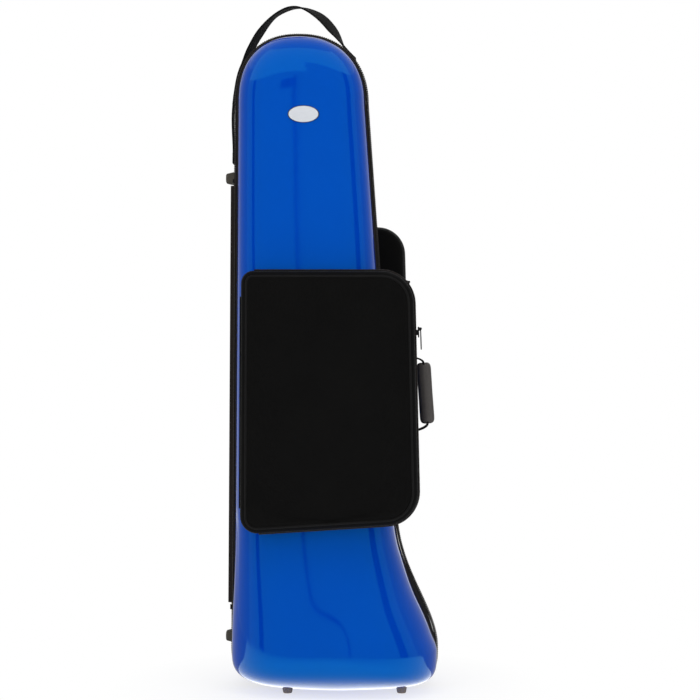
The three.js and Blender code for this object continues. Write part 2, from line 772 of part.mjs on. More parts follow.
function handleWebbing() {
  const eye = linkWire + fit + handleWebThick;
  const from = linkRise + eye - handleWebThick / 2;
  const end = gripLength / 2;
  const bend = new THREE.CubicBezierCurve3(...[
    [from, handleSpan], [from + (gripRise - from) * 0.7, handleSpan],
    [gripRise, end + (handleSpan - end) * 0.5], [gripRise, end],
  ].map(([x, z]) => new THREE.Vector3(x, 0, z)));
  const half = [...bend.getPoints(9), new THREE.Vector3(gripRise, 0, 0)];
  const centre = [...half, ...half.slice(0, -1).reverse().map((at) =>
    new THREE.Vector3(at.x, 0, -at.z))];
  const offset = (by) => centre.map((at, i) => {
    const along = centre[Math.min(i + 1, centre.length - 1)].clone()
      .sub(centre[Math.max(i - 1, 0)]).normalize();
    return new THREE.Vector2(at.x - along.z * by, at.z + along.x * by);
  });
  const outline = [...offset(handleWebThick / 2), ...offset(-handleWebThick / 2).reverse()];
  const band = plate(outline, -handleWeb / 2, handleWeb / 2);
  const turns = [-1, 1].map((end) => new THREE.CylinderGeometry(eye, eye, handleWeb, 14)
    .translate(linkRise, 0, end * handleSpan));
  const bores = [-1, 1].map((end) => new THREE.CylinderGeometry(
    linkWire + fit, linkWire + fit, handleWeb + overrun, 12).translate(linkRise, 0, end * handleSpan));
  return cut(join(band, ...turns), ...bores);
}

function grip() {
  const half = gripLength / 2;
  const section = (thick, width) => arcBox(thick / 2, width / 2);
  const ring = (z, trim) => section(gripThick - 2 * trim, gripWidth - 2 * trim)
    .map((at) => new THREE.Vector3(gripRise + at.x, at.y, z));
  const pad = loft([
    ring(-half, gripRound * 0.75), ring(-half + gripRound / 3, gripRound / 4),
    ring(-half + gripRound, 0), ring(half - gripRound, 0),
    ring(half - gripRound / 3, gripRound / 4), ring(half, gripRound * 0.75),
  ], { cap: section(gripThick, gripWidth) });
  const slot = block(gripRise - handleWebThick / 2 - fit, gripRise + handleWebThick / 2 + fit,
    -handleWeb / 2 - fit, handleWeb / 2 + fit, -overrun - half, overrun + half);
  return cut(pad, slot);
}
function arcBox(halfX, halfY) {
  const round = Math.min(gripRound, halfX * 0.9, halfY * 0.9);
  return roundedRect(-halfX, halfX, -halfY, halfY, Array(4).fill(round), 3);
}

// Swivel link: a knuckle on the anchor pin with a wire loop for the webbing
function link(end) {
  const z = end * handleSpan;
  const bar = (x) => new THREE.CylinderGeometry(linkWire, linkWire, 2 * linkLeg, 8)
    .translate(x, 0, z);
  const low = linkLow;
  const leg = (y) => new THREE.CylinderGeometry(linkWire, linkWire, linkRise - low, 8)
    .rotateZ(Math.PI / 2).translate((linkRise + low) / 2, y, z);
  const corner = (x, y) => new THREE.SphereGeometry(linkWire, 8, 6).translate(x, y, z);
  const eye = new THREE.CylinderGeometry(knuckle, knuckle, knuckleLength, 14)
    .rotateX(Math.PI / 2).translate(0, 0, z);
  const bore = new THREE.CylinderGeometry(pinRadius + fit, pinRadius + fit, overrun, 12)
    .rotateX(Math.PI / 2).translate(0, 0, z);
  const corners = [-linkLeg, linkLeg].flatMap((y) => [corner(low, y), corner(linkRise, y)]);
  return cut(join(bar(low), bar(linkRise), leg(-linkLeg), leg(linkLeg), ...corners, eye), bore);
}

function anchor(end) {
  const z = end * handleSpan;
  const base = plate(roundedRect(-anchorSeat - anchorPlate, -anchorSeat, -anchorWidth / 2,
    anchorWidth / 2, Array(4).fill(anchorPlate / 4), 1), -anchorLength / 2, anchorLength / 2)
    .rotateX(Math.PI / 2).translate(0, 0, z);
  const ears = [-1, 1].map((way) => {
    const near = knuckleLength / 2 + fit;
    const from = way * near;
    const to = way * (near + earLong);
    return block(-anchorSeat - anchorPlate / 2, knuckle * 0.8, -knuckle, knuckle,
      z + Math.min(from, to), z + Math.max(from, to));
  });
  const pin = new THREE.CylinderGeometry(pinRadius, pinRadius, knuckleLength + 2 * fit + earLong, 12)
    .rotateX(Math.PI / 2).translate(0, 0, z);
  return join(base, ...ears, pin).applyMatrix4(handleMatrix);
}

function anchorBlock(end) {
  const z = end * handleSpan;
  const pad = block(-anchorSeat - anchorPlate - anchorPad, -anchorSeat - anchorPlate - fit,
    -anchorWidth / 2, anchorWidth / 2, z - anchorLength / 2, z + anchorLength / 2);
  return cut(pad.applyMatrix4(handleMatrix), shellFill(back, fit));
}

function badge() {
  const oval = new THREE.EllipseCurve(badgeX, badgeZ, badgeWidth / 2, badgeHeight / 2)
    .getPoints(24).slice(0, -1);
  const column = plate(oval, -topDepth - overrun, -topDepth + overrun);
  return cut(overlap(column, shellFill(front, fit + badgeThick)), shellFill(front, fit));
}

// Groups, one for each piece that moves, with its origin on its axis
const trombone = new THREE.Group();
const group = (name, parent, origin) => {
  const made = new THREE.Group();
  made.name = name;
  parent.add(made);
  parent.updateWorldMatrix(true, false);
  made.position.copy(parent.worldToLocal(origin.clone()));
  made.updateWorldMatrix(true, false);
  return made;
};
// Adds meshes that are drawn in the frame of the whole case to a moved group
const put = (parent, ...meshes) => meshes.forEach((made) => {
  parent.updateWorldMatrix(true, false);
  made.geometry.applyMatrix4(parent.matrixWorld.clone().invert());
  parent.add(made);
});

const lid = group('lid', trombone, foldAt((hingeLow + hingeHigh) / 2));

for (const [side, label, half] of [[back, 'back', trombone], [front, 'front', lid]]) {
  put(half,
    mesh(`${label}_shell`, shellSkin(side), gelcoat),
    mesh(`${label}_edge_binding`, cut(strip(rim, bindingSection, side, true), above(bellSplit)),
      binding),
    mesh(`${label}_flare_binding`, cut(strip(rim, bindingSection, side, true), below(bellSplit)),
      binding),
    mesh(`${label}_zip_half`, strip(zipPath, zipSection, side, false), coil),
    mesh(`${label}_hinge_leaf`, strip(leafPath, leafSection, side, false), nylon),
    mesh(`${label}_bottom_foot_left`, bottomFoot(side, footX - footSpread / 2), rubber),
    mesh(`${label}_bottom_foot_right`, bottomFoot(side, footX + footSpread / 2), rubber));
}
put(trombone,
  mesh('back_side_foot_high', sideFoot(back, sideFootHighZ), rubber),
  mesh('back_side_foot_low', sideFoot(back, sideFootLowZ), rubber));

// Hinge bead on the fold line, and the end stops of the zip
const beadLength = hingeHigh - hingeLow;
put(trombone, mesh('hinge_bead', new THREE.CylinderGeometry(beadRadius, beadRadius, beadLength, 10)
  .rotateX(Math.PI / 2).rotateY(Math.atan(leftLeanShare))
  .translate(...foldAt(hingeLow + beadLength / 2).toArray()), nylon));
for (const [name, z] of [['zip_stop_low', hingeLow - stopLength], ['zip_stop_high', hingeHigh + stopLength]]) {
  const at = sideAt(z, false);
  put(trombone, mesh(name, block(at.x - coilTop - fit - sliderThick, at.x - coilTop - fit,
    seam, coilWidth + flangeThick, z - stopLength / 2, z + stopLength / 2), darkMetal));
}

// Inside of the back half
put(trombone,
  mesh('back_insert', backInsert(), plush),
  mesh('back_insert_bell', backInsertBell(), plush),
  mesh('back_insert_head', backInsertHead(), plush),
  mesh('bell_strap', holdStrap(back, bayX - 1.6 * tubeRadius, bayX + 1.6 * tubeRadius,
    flareTop + 2 * strapWidth), webbing));
const boxLid = group('accessory_lid', trombone,
  new THREE.Vector3(0, insertFace, boxFoot - boxLedge + fit));
put(boxLid,
  mesh('accessory_lid_panel', plate(boxOutline(boxLedge - fit), insertFace, insertFace + boxLidThick),
    plush),
  mesh('accessory_lid_tab', block(-strapWidth / 3, strapWidth / 3, insertFace - fit - strapThick,
    insertFace - fit, boxHigh - strapLap, boxHigh + strapLap), webbing));

// Inside of the lid
put(lid,
  mesh('front_insert', frontInsert(above(bellSplit)), plush),
  mesh('front_insert_bell', frontInsert(below(bellSplit)), plush),
  mesh('slide_strap_high', holdStrap(front, -slideWidth / 2, slideWidth / 2,
    slideTop - slideWidth), webbing),
  mesh('slide_strap_low', holdStrap(front, -slideWidth / 2, slideWidth / 2,
    slideFoot + 2.6 * slideWidth), webbing),
  mesh('badge', badge(), silver));

// Pockets, each with its swinging panel, zip, slider and pull
for (const [side, label, half, size] of [[front, 'front', lid, frontPocket],
  [back, 'back', trombone, backPocket]]) {
  const { base, middleZ } = pocketPlaces(side, size);
  put(half,
    mesh(`${label}_pocket_body`, pocketBody(side, size), nylon),
    mesh(`${label}_pocket_zip_inner`, pocketZipHalf(side, size, -1), coil));
  const panel = group(`${label}_panel`, half,
    new THREE.Vector3(pocketLeft - pocketHinge, side * (base(middleZ) + pocketZip), middleZ));
  put(panel,
    mesh(`${label}_pocket_panel`, pocketPanel(side, size), nylon),
    mesh(`${label}_pocket_zip_outer`, pocketZipHalf(side, size, 1), coil),
    mesh(`${label}_pocket_piping`, pocketPiping(side, size), webbing));
  const sliderZ = size.bottom + (size.top - size.bottom) * pocketSliderShare;
  const runner = group(`${label}_pocket_runner`, half,
    new THREE.Vector3(pocketRight(size, sliderZ), side * (base(sliderZ) + pocketZip), sliderZ));
  runner.rotation.set(side * Math.atan(depthLeanShare), -Math.atan(pocketLeanShare), 0);
  const top = fit + pocketTape + fit;
  runner.add(mesh(`${label}_pocket_slider`, slider(-side, top, pocketTapeWidth), darkMetal));
  const hang = new THREE.Group();
  hang.name = `${label}_pocket_hang`;
  hang.position.set(pullAxisX(top), 0, pullAxisZ);
  runner.add(hang);
  hang.add(mesh(`${label}_pocket_pull`, pull(), darkMetal));
}

// Sliders of the main zip, on its straight right side
for (const [label, z] of [['low', lowSliderZ], ['high', highSliderZ]]) {
  const at = sideAt(z, true);
  const runner = group(`${label}_runner`, trombone, new THREE.Vector3(at.x, 0, z));
  runner.rotation.y = -Math.atan2(at.outZ, at.outX);
  const top = coilTop + sliderLift;
  runner.add(mesh(`main_slider_${label}`, slider(back, top, coilWidth), darkMetal));
  const hang = new THREE.Group();
  hang.name = `${label}_hang`;
  hang.position.set(pullAxisX(top), 0, pullAxisZ);
  runner.add(hang);
  hang.add(mesh(`main_pull_${label}`, pull(), darkMetal));
}

// Webbing loop and its bases
put(trombone,
  mesh('carry_webbing', webLoop(), webbing),
  mesh('web_base_tail', webBase(sideAt(tailFoot, false)), rubber),
  mesh('web_base_left', webBase(domeAt(leftBaseShare)), rubber),
  mesh('web_base_right', webBase(domeAt(rightBaseShare)), rubber));

// Side handle
const handle = group('side_handle', trombone, handleOrigin);
handle.rotation.y = handleTurn;
handle.add(
  mesh('handle_webbing', handleWebbing(), webbing),
  mesh('handle_grip', grip(), leather),
  mesh('handle_link_high', link(1), darkMetal),
  mesh('handle_link_low', link(-1), darkMetal));
put(trombone,
  mesh('handle_anchor_high', anchor(1), darkMetal),
  mesh('handle_anchor_low', anchor(-1), darkMetal),
  mesh('handle_pad_high', anchorBlock(1), rubber),
  mesh('handle_pad_low', anchorBlock(-1), rubber));

// The origin is under the middle of the case, on the floor
trombone.updateWorldMatrix(true, true);
const bounds = new THREE.Box3().setFromObject(trombone);
trombone.position.set(-(bounds.min.x + bounds.max.x) / 2, -(bounds.min.y + bounds.max.y) / 2,
  -bounds.min.z);
trombone.updateWorldMatrix(true, true);

export default trombone;
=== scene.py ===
from math import acos, atan, atan2, cos, exp, pi, radians, sin

import bmesh
import bpy
import numpy as np
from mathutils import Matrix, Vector
from mathutils.bvhtree import BVHTree


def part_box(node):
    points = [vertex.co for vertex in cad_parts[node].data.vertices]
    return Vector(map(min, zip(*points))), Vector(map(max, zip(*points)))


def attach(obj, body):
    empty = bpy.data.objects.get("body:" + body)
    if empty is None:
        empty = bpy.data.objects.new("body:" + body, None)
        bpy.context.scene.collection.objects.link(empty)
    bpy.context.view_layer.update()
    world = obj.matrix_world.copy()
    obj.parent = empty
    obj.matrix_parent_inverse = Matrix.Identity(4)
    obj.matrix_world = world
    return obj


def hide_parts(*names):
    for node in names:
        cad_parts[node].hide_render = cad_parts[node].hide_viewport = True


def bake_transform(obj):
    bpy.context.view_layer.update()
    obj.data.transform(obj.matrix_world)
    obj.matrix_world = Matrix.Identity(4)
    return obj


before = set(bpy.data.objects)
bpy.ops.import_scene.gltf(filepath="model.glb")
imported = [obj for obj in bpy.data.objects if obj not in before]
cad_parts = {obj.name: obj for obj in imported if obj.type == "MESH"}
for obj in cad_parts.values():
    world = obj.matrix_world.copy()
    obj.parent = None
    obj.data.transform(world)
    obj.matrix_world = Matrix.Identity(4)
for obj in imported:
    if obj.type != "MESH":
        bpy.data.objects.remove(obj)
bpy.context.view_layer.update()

mm = 0.001
tau = 2 * pi
xAxis, yAxis, zAxis = np.eye(3)
halves = [(-1, "front", "lid"), (1, "back", "case")]

# Drawn in millimetres, with X 0 in the middle of the narrow end and Y 0 in the plane of the zip,
# and moved by shift to the frame's own place
case = {
    "halfWidth": 87.5, "domeRise": 94, "domeZ": 828, "domeRound": 2.3, "domeLean": 4,
    "capZ": 60, "capDrop": 49.5, "capRound": 3.6, "capRightRound": 5,
    "flareTop": 250, "flareReach": 45, "flareEase": 1.28, "leftLean": 0.006, "lean": 0.07,
    "topDepth": 58, "taperTop": 640, "taperSoft": 60, "depthLean": 0.072, "flareDepth": 22.4,
    "round": 3.2, "section": (115, 100), "belly": 5, "wall": 3, "seam": 0.4, "fit": 0.35,
    "fuller": 2.4, "swell": 4.3, "swellAcross": (-5, 105), "swellDown": (78, 140),
    "drawn": 4.2, "drawnLow": (56, 84), "drawnHigh": (125, 190),
}
trim = {
    "bindingThick": 4, "bindingDepth": 15, "bindingJoint": 262, "bindingFoot": 0.1, "flareFoot": -2.0,
    "tapeThick": 1.1, "tapeWidth": 12, "coilWidth": 3.2, "coilRise": 4, "toothPitch": 2.9,
    "hingeLow": 118, "hingeHigh": 713, "hingeFold": 7.5, "hingeCut": 34, "sliders": {"low": 350, "high": 545},
}
domeZ, capZ, fit, depthLean = case["domeZ"], case["capZ"], case["fit"], case["depthLean"]
bindingTop = fit + trim["bindingThick"]
tapeFoot = bindingTop + fit
coilTop = tapeFoot + trim["coilRise"]
foldOut = bindingTop + trim["hingeFold"]


def smooth(low, high, at):
    t = np.clip((np.asarray(at, float) - low) / (high - low), 0, 1)
    return t * t * (3 - 2 * t)


def flareAt(z):
    t = np.clip((case["flareTop"] - z) / (case["flareTop"] - capZ), 0, 1)
    return smooth(0, 1, t ** case["flareEase"])


def depthAt(z):
    run = case["taperTop"] - z
    ramp = (run + np.hypot(run, case["taperSoft"])) / 2
    return case["topDepth"] + ramp * depthLean + case["flareDepth"] * flareAt(z)


def leftAt(z):
    return -case["halfWidth"] - (domeZ - z) * case["leftLean"]


def rightAt(z):
    return case["halfWidth"] + (domeZ - z) * case["lean"] + case["flareReach"] * flareAt(z)


hingeMiddle = (trim["hingeLow"] + trim["hingeHigh"]) / 2
foldX = leftAt(hingeMiddle) - foldOut
shift = np.mean(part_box("hinge_bead"), 0) / mm - (foldX, 0, hingeMiddle)
capX = (leftAt(capZ) + rightAt(capZ)) / 2


# Half a superellipse as t goes from 0 to 1, with its own roundness on either side
def halfTurn(t, left, right):
    angle = np.pi * np.asarray(t, float)
    share = 2 / np.where(np.cos(angle) > 0, right, left)
    return np.abs(np.cos(angle)) ** share * np.sign(np.cos(angle)), np.abs(np.sin(angle)) ** share


def domePoint(t):
    across, up = halfTurn(t, case["domeRound"], case["domeRound"])
    x = -case["halfWidth"] * across - case["domeLean"] * up * up
    return np.stack([x, domeZ + case["domeRise"] * up], -1)


def capPoint(t):
    across, down = halfTurn(t, case["capRound"], case["capRightRound"])
    return np.stack([capX + (rightAt(capZ) - capX) * across, capZ - case["capDrop"] * down], -1)


def lengths(line):
    return np.concatenate([[0], np.cumsum(np.linalg.norm(np.diff(line, axis=0), axis=1))])


def unit(vectors):
    return vectors / np.linalg.norm(vectors, axis=-1)[..., None]


# The same line with evenly spaced points; a closed one doesn't repeat its first point
def evenly(line, count, closed=False):
    line = np.asarray(line, float)
    if closed:
        line = np.vstack([line, line[:1]])
    s = lengths(line)
    at = np.linspace(0, s[-1], count + closed)[:count]
    return np.stack([np.interp(at, s, part) for part in line.T], -1)


def evenParts(curve, count):
    t = np.linspace(0, 1, 6001)
    s = lengths(curve(t))
    return curve(np.interp(np.linspace(0, s[-1], count + 1), s, t)[1:-1])


# Outward direction at each point of a line that runs clockwise, seen from the front
def outward(line, closed=False):
    before, after = np.roll(line, 1, 0), np.roll(line, -1, 0)
    if not closed:
        before[0], after[-1] = line[0], line[-1]
    return unit(np.stack([before[:, 1] - after[:, 1], after[:, 0] - before[:, 0]], -1))


# The rim from the low left clockwise, and the spine that its sections run to
def rimStations(levels, dome, cap):
    z = np.linspace(capZ, domeZ, levels)
    spine = np.stack([(leftAt(z) + rightAt(z)) / 2, z], -1)
    top, low = evenParts(domePoint, dome), evenParts(capPoint, cap)
    line = np.vstack([np.stack([leftAt(z), z], -1), top, np.stack([rightAt(z), z], -1)[::-1], low])
    return line, np.vstack([spine, np.tile([0, domeZ], (len(top), 1)),
                            spine[::-1], np.tile([capX, capZ], (len(low), 1))])


rimLine, rimSpine = rimStations(96, 60, 84)
rimOut = outward(rimLine, True)


def sidePoint(z, right):
    z = np.atleast_1d(np.asarray(z, float))
    edge, way = (rightAt, 1) if right else (leftAt, -1)
    slope = (edge(z + 0.4) - edge(z - 0.4)) / 0.8
    return np.stack([edge(z), z], -1), unit(np.stack([np.full_like(z, way), -way * slope], -1))


# How the section runs from the crown (first) to the rim (last)
def sectionShares(steps):
    out, rise = halfTurn(np.linspace(0.5, 0, 4001), case["round"], case["round"])
    even = evenly(np.stack([out, rise], -1) * case["section"], steps + 1) / case["section"]
    even[0], even[-1] = (0, 1), (1, 0)
    return even


# The shell's edge swells under its binding, and is drawn in where the flare turns out
def fullerAt(line):
    held = smooth(*case["drawnLow"], line[:, 1]) * (1 - smooth(*case["drawnHigh"], line[:, 1]))
    return case["fuller"] - case["drawn"] * held * (line[:, 0] > capX)


# The bell end stands a little further out on its right half
def rightSwell(flat):
    across, down = smooth(*case["swellAcross"], flat[:, 0]), smooth(*case["swellDown"], flat[:, 1])
    return case["swell"] * across * (1 - down)


def shellRings(side, offset, steps):
    rings = []
    reach = rimLine + rimOut * (offset + fullerAt(rimLine))[:, None] - rimSpine
    size = np.linalg.norm(reach, axis=1)
    for out, rise in sectionShares(steps):
        swell = case["belly"] * flareAt(rimLine[:, 1]) * sin(pi * rise) ** 2 / size
        flat = rimSpine + reach * (out + swell)[:, None] if out > 0 else rimSpine
        depth = case["seam"] + (depthAt(flat[:, 1]) + rightSwell(flat) + offset - case["seam"]) * rise
        rings.append(inSpace(flat, side * depth))
    return np.array(rings)


# Flat X and Z points or directions with their Y
def inSpace(flat, y=0.0):
    return np.stack([flat[..., 0], np.broadcast_to(y, flat.shape[:-1]), flat[..., 1]], -1)


# Faces of a grid of points with r rows of c, and of its two ends
def quads(r, c, closedRows=False, closedCols=True):
    return [(i * c + j, i * c + (j + 1) % c, (i + 1) % r * c + (j + 1) % c, (i + 1) % r * c + j)
            for i in range(r if closedRows else r - 1) for j in range(c if closedCols else c - 1)]


def ends(r, c):
    return [tuple(range(c))[::-1], tuple(range((r - 1) * c, r * c))]


def addObject(name, data):
    made = bpy.data.objects.new(name, data)
    bpy.context.scene.collection.objects.link(made)
    return made


# Points and faces of one piece; run holds the distance along and across a strip
class Shape:
    def __init__(self):
        self.points, self.faces, self.run, self.slots = [], [], [], []

    def add(self, points, faces, run=None, slot=0):
        base = len(self.points)
        self.points.extend(points.tolist())
        self.run.extend((np.zeros((len(points), 3)) if run is None else run).tolist())
        self.faces.extend([[base + i for i in face] for face in faces])
        self.slots.extend([slot] * len(faces))
        return self

    def grid(self, rows, closedRows=False, closedCols=False, caps=False, slot=0):
        rows = np.asarray(rows, float)
        r, c = rows.shape[:2]
        run = np.zeros((r, c, 3))
        run[..., 0], run[..., 1] = lengths(rows.mean(1))[:, None], lengths(rows[r // 2])
        faces = quads(r, c, closedRows, closedCols) + (ends(r, c) if caps else [])
        return self.add(rows.reshape(-1, 3), faces, run.reshape(-1, 3), slot)

    def solid(self, rows):
        return self.grid(rows, closedCols=True, caps=True)

    def loop(self, rows):
        return self.grid(rows, closedRows=True, closedCols=True)

    # A flat X and Z outline from one Y to another
    def prism(self, outline, low, high):
        return self.solid([inSpace(outline, y) for y in (low, high)])

    # Copies of a small closed form, one for each place, each with its own three axes
    def scatter(self, form, places, axes, slot=0):
        base, faces = form
        places, axes = np.asarray(places, float), np.asarray(axes, float)
        points = places[:, None, :] + np.einsum("nk,mkj->mnj", base, axes)
        every = [[i + k * len(base) for i in face] for k in range(len(places)) for face in faces]
        return self.add(points.reshape(-1, 3), every, None, slot)

    def build(self, name, materials, sharp=40, local=None):
        points = np.array(self.points)
        if local is not None:
            points = points @ local[:3, :3].T + local[:3, 3]
        mesh = bpy.data.meshes.new(name)
        mesh.from_pydata(((points + shift) * mm).tolist(), [], self.faces)
        mesh.attributes.new("run", "FLOAT_VECTOR", "POINT")
        mesh.attributes["run"].data.foreach_set("vector", (np.array(self.run) * mm).ravel())
        mesh.polygons.foreach_set("material_index", self.slots)
        for material in materials if isinstance(materials, list) else [materials]:
            mesh.materials.append(material)
        work = bmesh.new()
        work.from_mesh(mesh)
        bmesh.ops.remove_doubles(work, verts=work.verts, dist=2e-6)
        bmesh.ops.dissolve_degenerate(work, edges=work.edges, dist=1e-7)
        bmesh.ops.recalc_face_normals(work, faces=work.faces)
        work.to_mesh(mesh)
        work.free()
        mesh.shade_smooth()
        mesh.set_sharp_from_angle(angle=radians(sharp))
        return addObject(name, mesh)

    # Builds the piece, with its body and the solids that it stands for
    def make(self, name, materials, sharp, body, slot, *nodes, local=None):
        return settle(self.build(name, materials, sharp, local), body, slot, *nodes)


def settle(piece, body, slot, *nodes):
    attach(piece, body)
    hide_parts(*nodes)
    return piece


def soften(piece, width, segments=2):
    bevel = piece.modifiers.new("soften", "BEVEL")
    bevel.width, bevel.segments = width * mm, segments
    bevel.limit_method, bevel.angle_limit = "ANGLE", radians(35)
    bevel.use_clamp_overlap = True


# A polygon with its corners rounded off
def rounded(points, radius, steps=3):
    points = [np.array(p, float) for p in points]
    radii = radius if isinstance(radius, list) else [radius] * len(points)
    made = []
    for i, at in enumerate(points):
        before, after = points[i - 1] - at, points[(i + 1) % len(points)] - at
        a, b = [at + unit(v) * min(radii[i], np.linalg.norm(v) * 0.49) for v in (before, after)]
        for t in np.arange(steps + 1) / steps:
            made.append((1 - t) ** 2 * a + 2 * t * (1 - t) * at + t * t * b)
    return np.array(made)


# The same for an upright rectangle, from one corner to the other
def oblong(start, end, radius, steps=3):
    (a, b), (c, d) = start, end
    return rounded([(a, b), (c, b), (c, d), (a, d)], radius, steps)


def turns(steps):
    return np.arange(steps) * tau / steps


def arc(x, z, radius, start, end, steps):
    angle = np.linspace(start, end, steps + 1)
    return np.stack([x + radius * np.cos(angle), z + radius * np.sin(angle)], -1)


# A section of (outward, depth) pairs along a flat line
def stripRows(line, out, section, side):
    section = np.asarray(section, float)
    return inSpace(line[:, None] + out[:, None] * section[:, :1], side * section[:, 1])


def stripLine(line, out, push, depth):
    return stripRows(line, out, [(push, depth)], 1)[:, 0]


# Tube of any section along a line in space; wide is the direction that section x follows
def tubeRows(line, section, wide=yAxis, closed=False):
    along = unit(np.roll(line, -1, 0) - np.roll(line, 1, 0) if closed else np.gradient(line, axis=0))
    wide = unit(wide - along * (wide * along).sum(1)[:, None])
    up = np.cross(along, wide)
    return line[:, None] + wide[:, None] * section[None, :, :1] + up[:, None] * section[None, :, 1:]


def circle(radius, steps):
    return arc(0, 0, radius, 0, tau * (steps - 1) / steps, steps - 1)


def band(line, width, thick, wide=yAxis):
    section = oblong((-width / 2, -thick / 2), (width / 2, thick / 2), thick * 0.45)
    return Shape().solid(tubeRows(line, section, wide))


# Small closed form from its rings
def closedForm(rings):
    rings = np.asarray(rings, float)
    r, c = rings.shape[:2]
    return rings.reshape(-1, 3), quads(r, c) + ends(r, c)


# Turned form about local Z, from a profile of (radius, height) points
def turned(profile, steps):
    return closedForm([[(r * cos(a), r * sin(a), h) for a in turns(steps)] for r, h in profile])


def capsule(length, radius):
    half = length / 2
    profile = [(radius * 0.35, -half), (radius * 0.85, -half + radius * 0.5), (radius, -half + radius)]
    return turned(profile + [(r, -h) for r, h in profile[::-1]], 6)


# Stitches along a line on a surface that faces out
def stitch(shape, line, out, pitch=4.2, thick=0.35, slot=1):
    count = max(2, int(lengths(line)[-1] / pitch)) * 2 + 1
    dense = evenly(line, count)
    along = unit(dense[2::2] - dense[:-1:2])
    side = unit(np.cross(along, out if np.ndim(out) == 1 else evenly(out, count)[1::2]))
    shape.scatter(capsule(pitch * 0.72, thick), dense[1::2],
                  np.stack([np.cross(side, along), side, along], 1), slot)


def boxStitch(shape, centre, along, wide, out, length, width):
    corners = [(-1, -1), (1, -1), (1, 1), (-1, 1), (-1, -1), (1, 1), (1, -1), (-1, 1)]
    points = [centre + along * a * length / 2 + wide * b * width / 2 for a, b in corners]
    for pair in zip(points[:-1], points[1:]):
        stitch(shape, np.array(pair), out, 2.6, 0.32)


print("outline ready")


# A socket that Python's operators work on
class Socket:
    def __init__(self, shader, link):
        self.shader, self.link = shader, link

    def math(self, operation, *values):
        return self.shader.node("Math", {"operation": operation}, dict(enumerate(values)))

    def __abs__(self):
        return self.math("ABSOLUTE", self)

    # Wave with its pitch in millimetres
    def wave(self, pitch):
        return (self * (tau / (pitch * mm))).sin()

    def sin(self):
        return self.math("SINE", self)

    def clamp(self):
        return self.shader.node("Clamp", {}, {"Value": self, "Min": 0.0, "Max": 1.0})


# The other operators, with the socket first and with it second
operators = {"add": "ADD", "sub": "SUBTRACT", "mul": "MULTIPLY", "truediv": "DIVIDE", "pow": "POWER"}
for sign, operation in operators.items():
    setattr(Socket, f"__{sign}__", lambda self, other, name=operation: self.math(name, self, other))
    setattr(Socket, f"__r{sign}__", lambda self, other, name=operation: self.math(name, other, self))


class Shader:
    def __init__(self, tree):
        self.tree = tree
        tree.nodes.clear()

    def node(self, kind, settings=None, inputs=None, output=0):
        made = self.tree.nodes.new("ShaderNode" + kind)
        for key, value in (settings or {}).items():
            if key == "stops":
                for element, (position, colour) in zip(made.color_ramp.elements, value):
                    element.position, element.color = position, (*colour, 1)
            else:
                setattr(made, key, value)
        for key, value in (inputs or {}).items():
            if isinstance(value, Socket):
                self.tree.links.new(value.link, made.inputs[key])
            elif isinstance(value, tuple):
                made.inputs[key].default_value = (*value, 1)
            else:
                made.inputs[key].default_value = value
        return Socket(self, made.outputs[output]) if made.outputs else None

    def place(self):
        return self.node("TexCoord", output="Object")

    def axes(self, vector):
        split = self.node("SeparateXYZ", {}, {0: vector})
        return [Socket(self, split.link.node.outputs[k]) for k in range(3)]

    def run(self):
        return self.axes(self.node("Attribute", {"attribute_name": "run"}, output="Vector"))

    def noise(self, scale, detail=3.0, rough=0.5, vector=None):
        inputs = {"Vector": vector or self.place(), "Scale": scale, "Detail": detail, "Roughness": rough}
        return self.node("TexNoise", {}, inputs)

    def blend(self, factor, a, b):
        return self.node("Mix", {"data_type": "RGBA"}, {0: factor, 6: a, 7: b}, 2)

    # Black up to low and white from high on
    def between(self, value, low, high):
        return self.node("ValToRGB", {"stops": [(low, (0, 0, 0)), (high, (1, 1, 1))]}, {0: value})

    def bump(self, height, distance, strength=1.0, normal=None):
        inputs = {"Height": height, "Distance": distance * mm, "Strength": strength}
        return self.node("Bump", {}, inputs | ({"Normal": normal} if normal else {}))

    # Over-and-under weave on whichever way the cloth faces, pitch in millimetres
    def weave(self, pitch):
        x, y, z = [v.wave(pitch * 2) for v in self.axes(self.place())]
        nx, ny, nz = [abs(v) for v in self.axes(self.node("TexCoord", output="Normal"))]
        return x * z * ny + y * z * nx + x * y * nz

    # How far a point stands from the upright line through the middle
    def distance(self):
        x, y, z = self.axes(self.place())
        return (x * x + y * y) ** 0.5


def newPaint(name):
    paint = bpy.data.materials.new(name)
    paint.use_nodes = True
    return paint, Shader(paint.node_tree)


def finish(name, draw, *look):
    paint, s = newPaint(name)
    s.node("OutputMaterial", {}, {"Surface": s.node("BsdfPrincipled", {}, draw(s, *look))})
    return paint


# Colour between two tones, roughness and relief, with what is the same all over
def coat(s, tone, dark, pale, rough, relief, gloss=0.5, sheen=(0.0, 0.5)):
    return {"Base Color": s.blend(tone, dark, pale), "Roughness": rough, "Normal": relief,
            "Specular IOR Level": gloss, "Sheen Weight": sheen[0], "Sheen Roughness": sheen[1]}


gelcoatLook = {
    "deep": (0.0, 0.046, 0.47), "pale": (0.0, 0.066, 0.56), "tint": (0.04, 0.78, 1.0), "roughness": 0.05,
    "peelScale": 260, "peel": 0.012, "waveScale": 9, "wave": 0.25,
}


def drawGelcoat(s):
    look = gelcoatLook
    cloud, flake = s.noise(5, 4, 0.6), s.noise(1900, 1, 0.4)
    tone = (cloud * 0.8 + flake * 0.35 - 0.1).clamp()
    haze = s.noise(38, 5, 0.65)
    wave = s.bump(s.noise(look["waveScale"], 1, 0.3), look["wave"])
    peel = s.bump(s.noise(look["peelScale"], 2, 0.5), look["peel"], normal=wave)
    return coat(s, tone, look["deep"], look["pale"], look["roughness"] + haze * haze * 0.05,
                peel) | {"IOR": 1.5, "Specular Tint": look["tint"]}


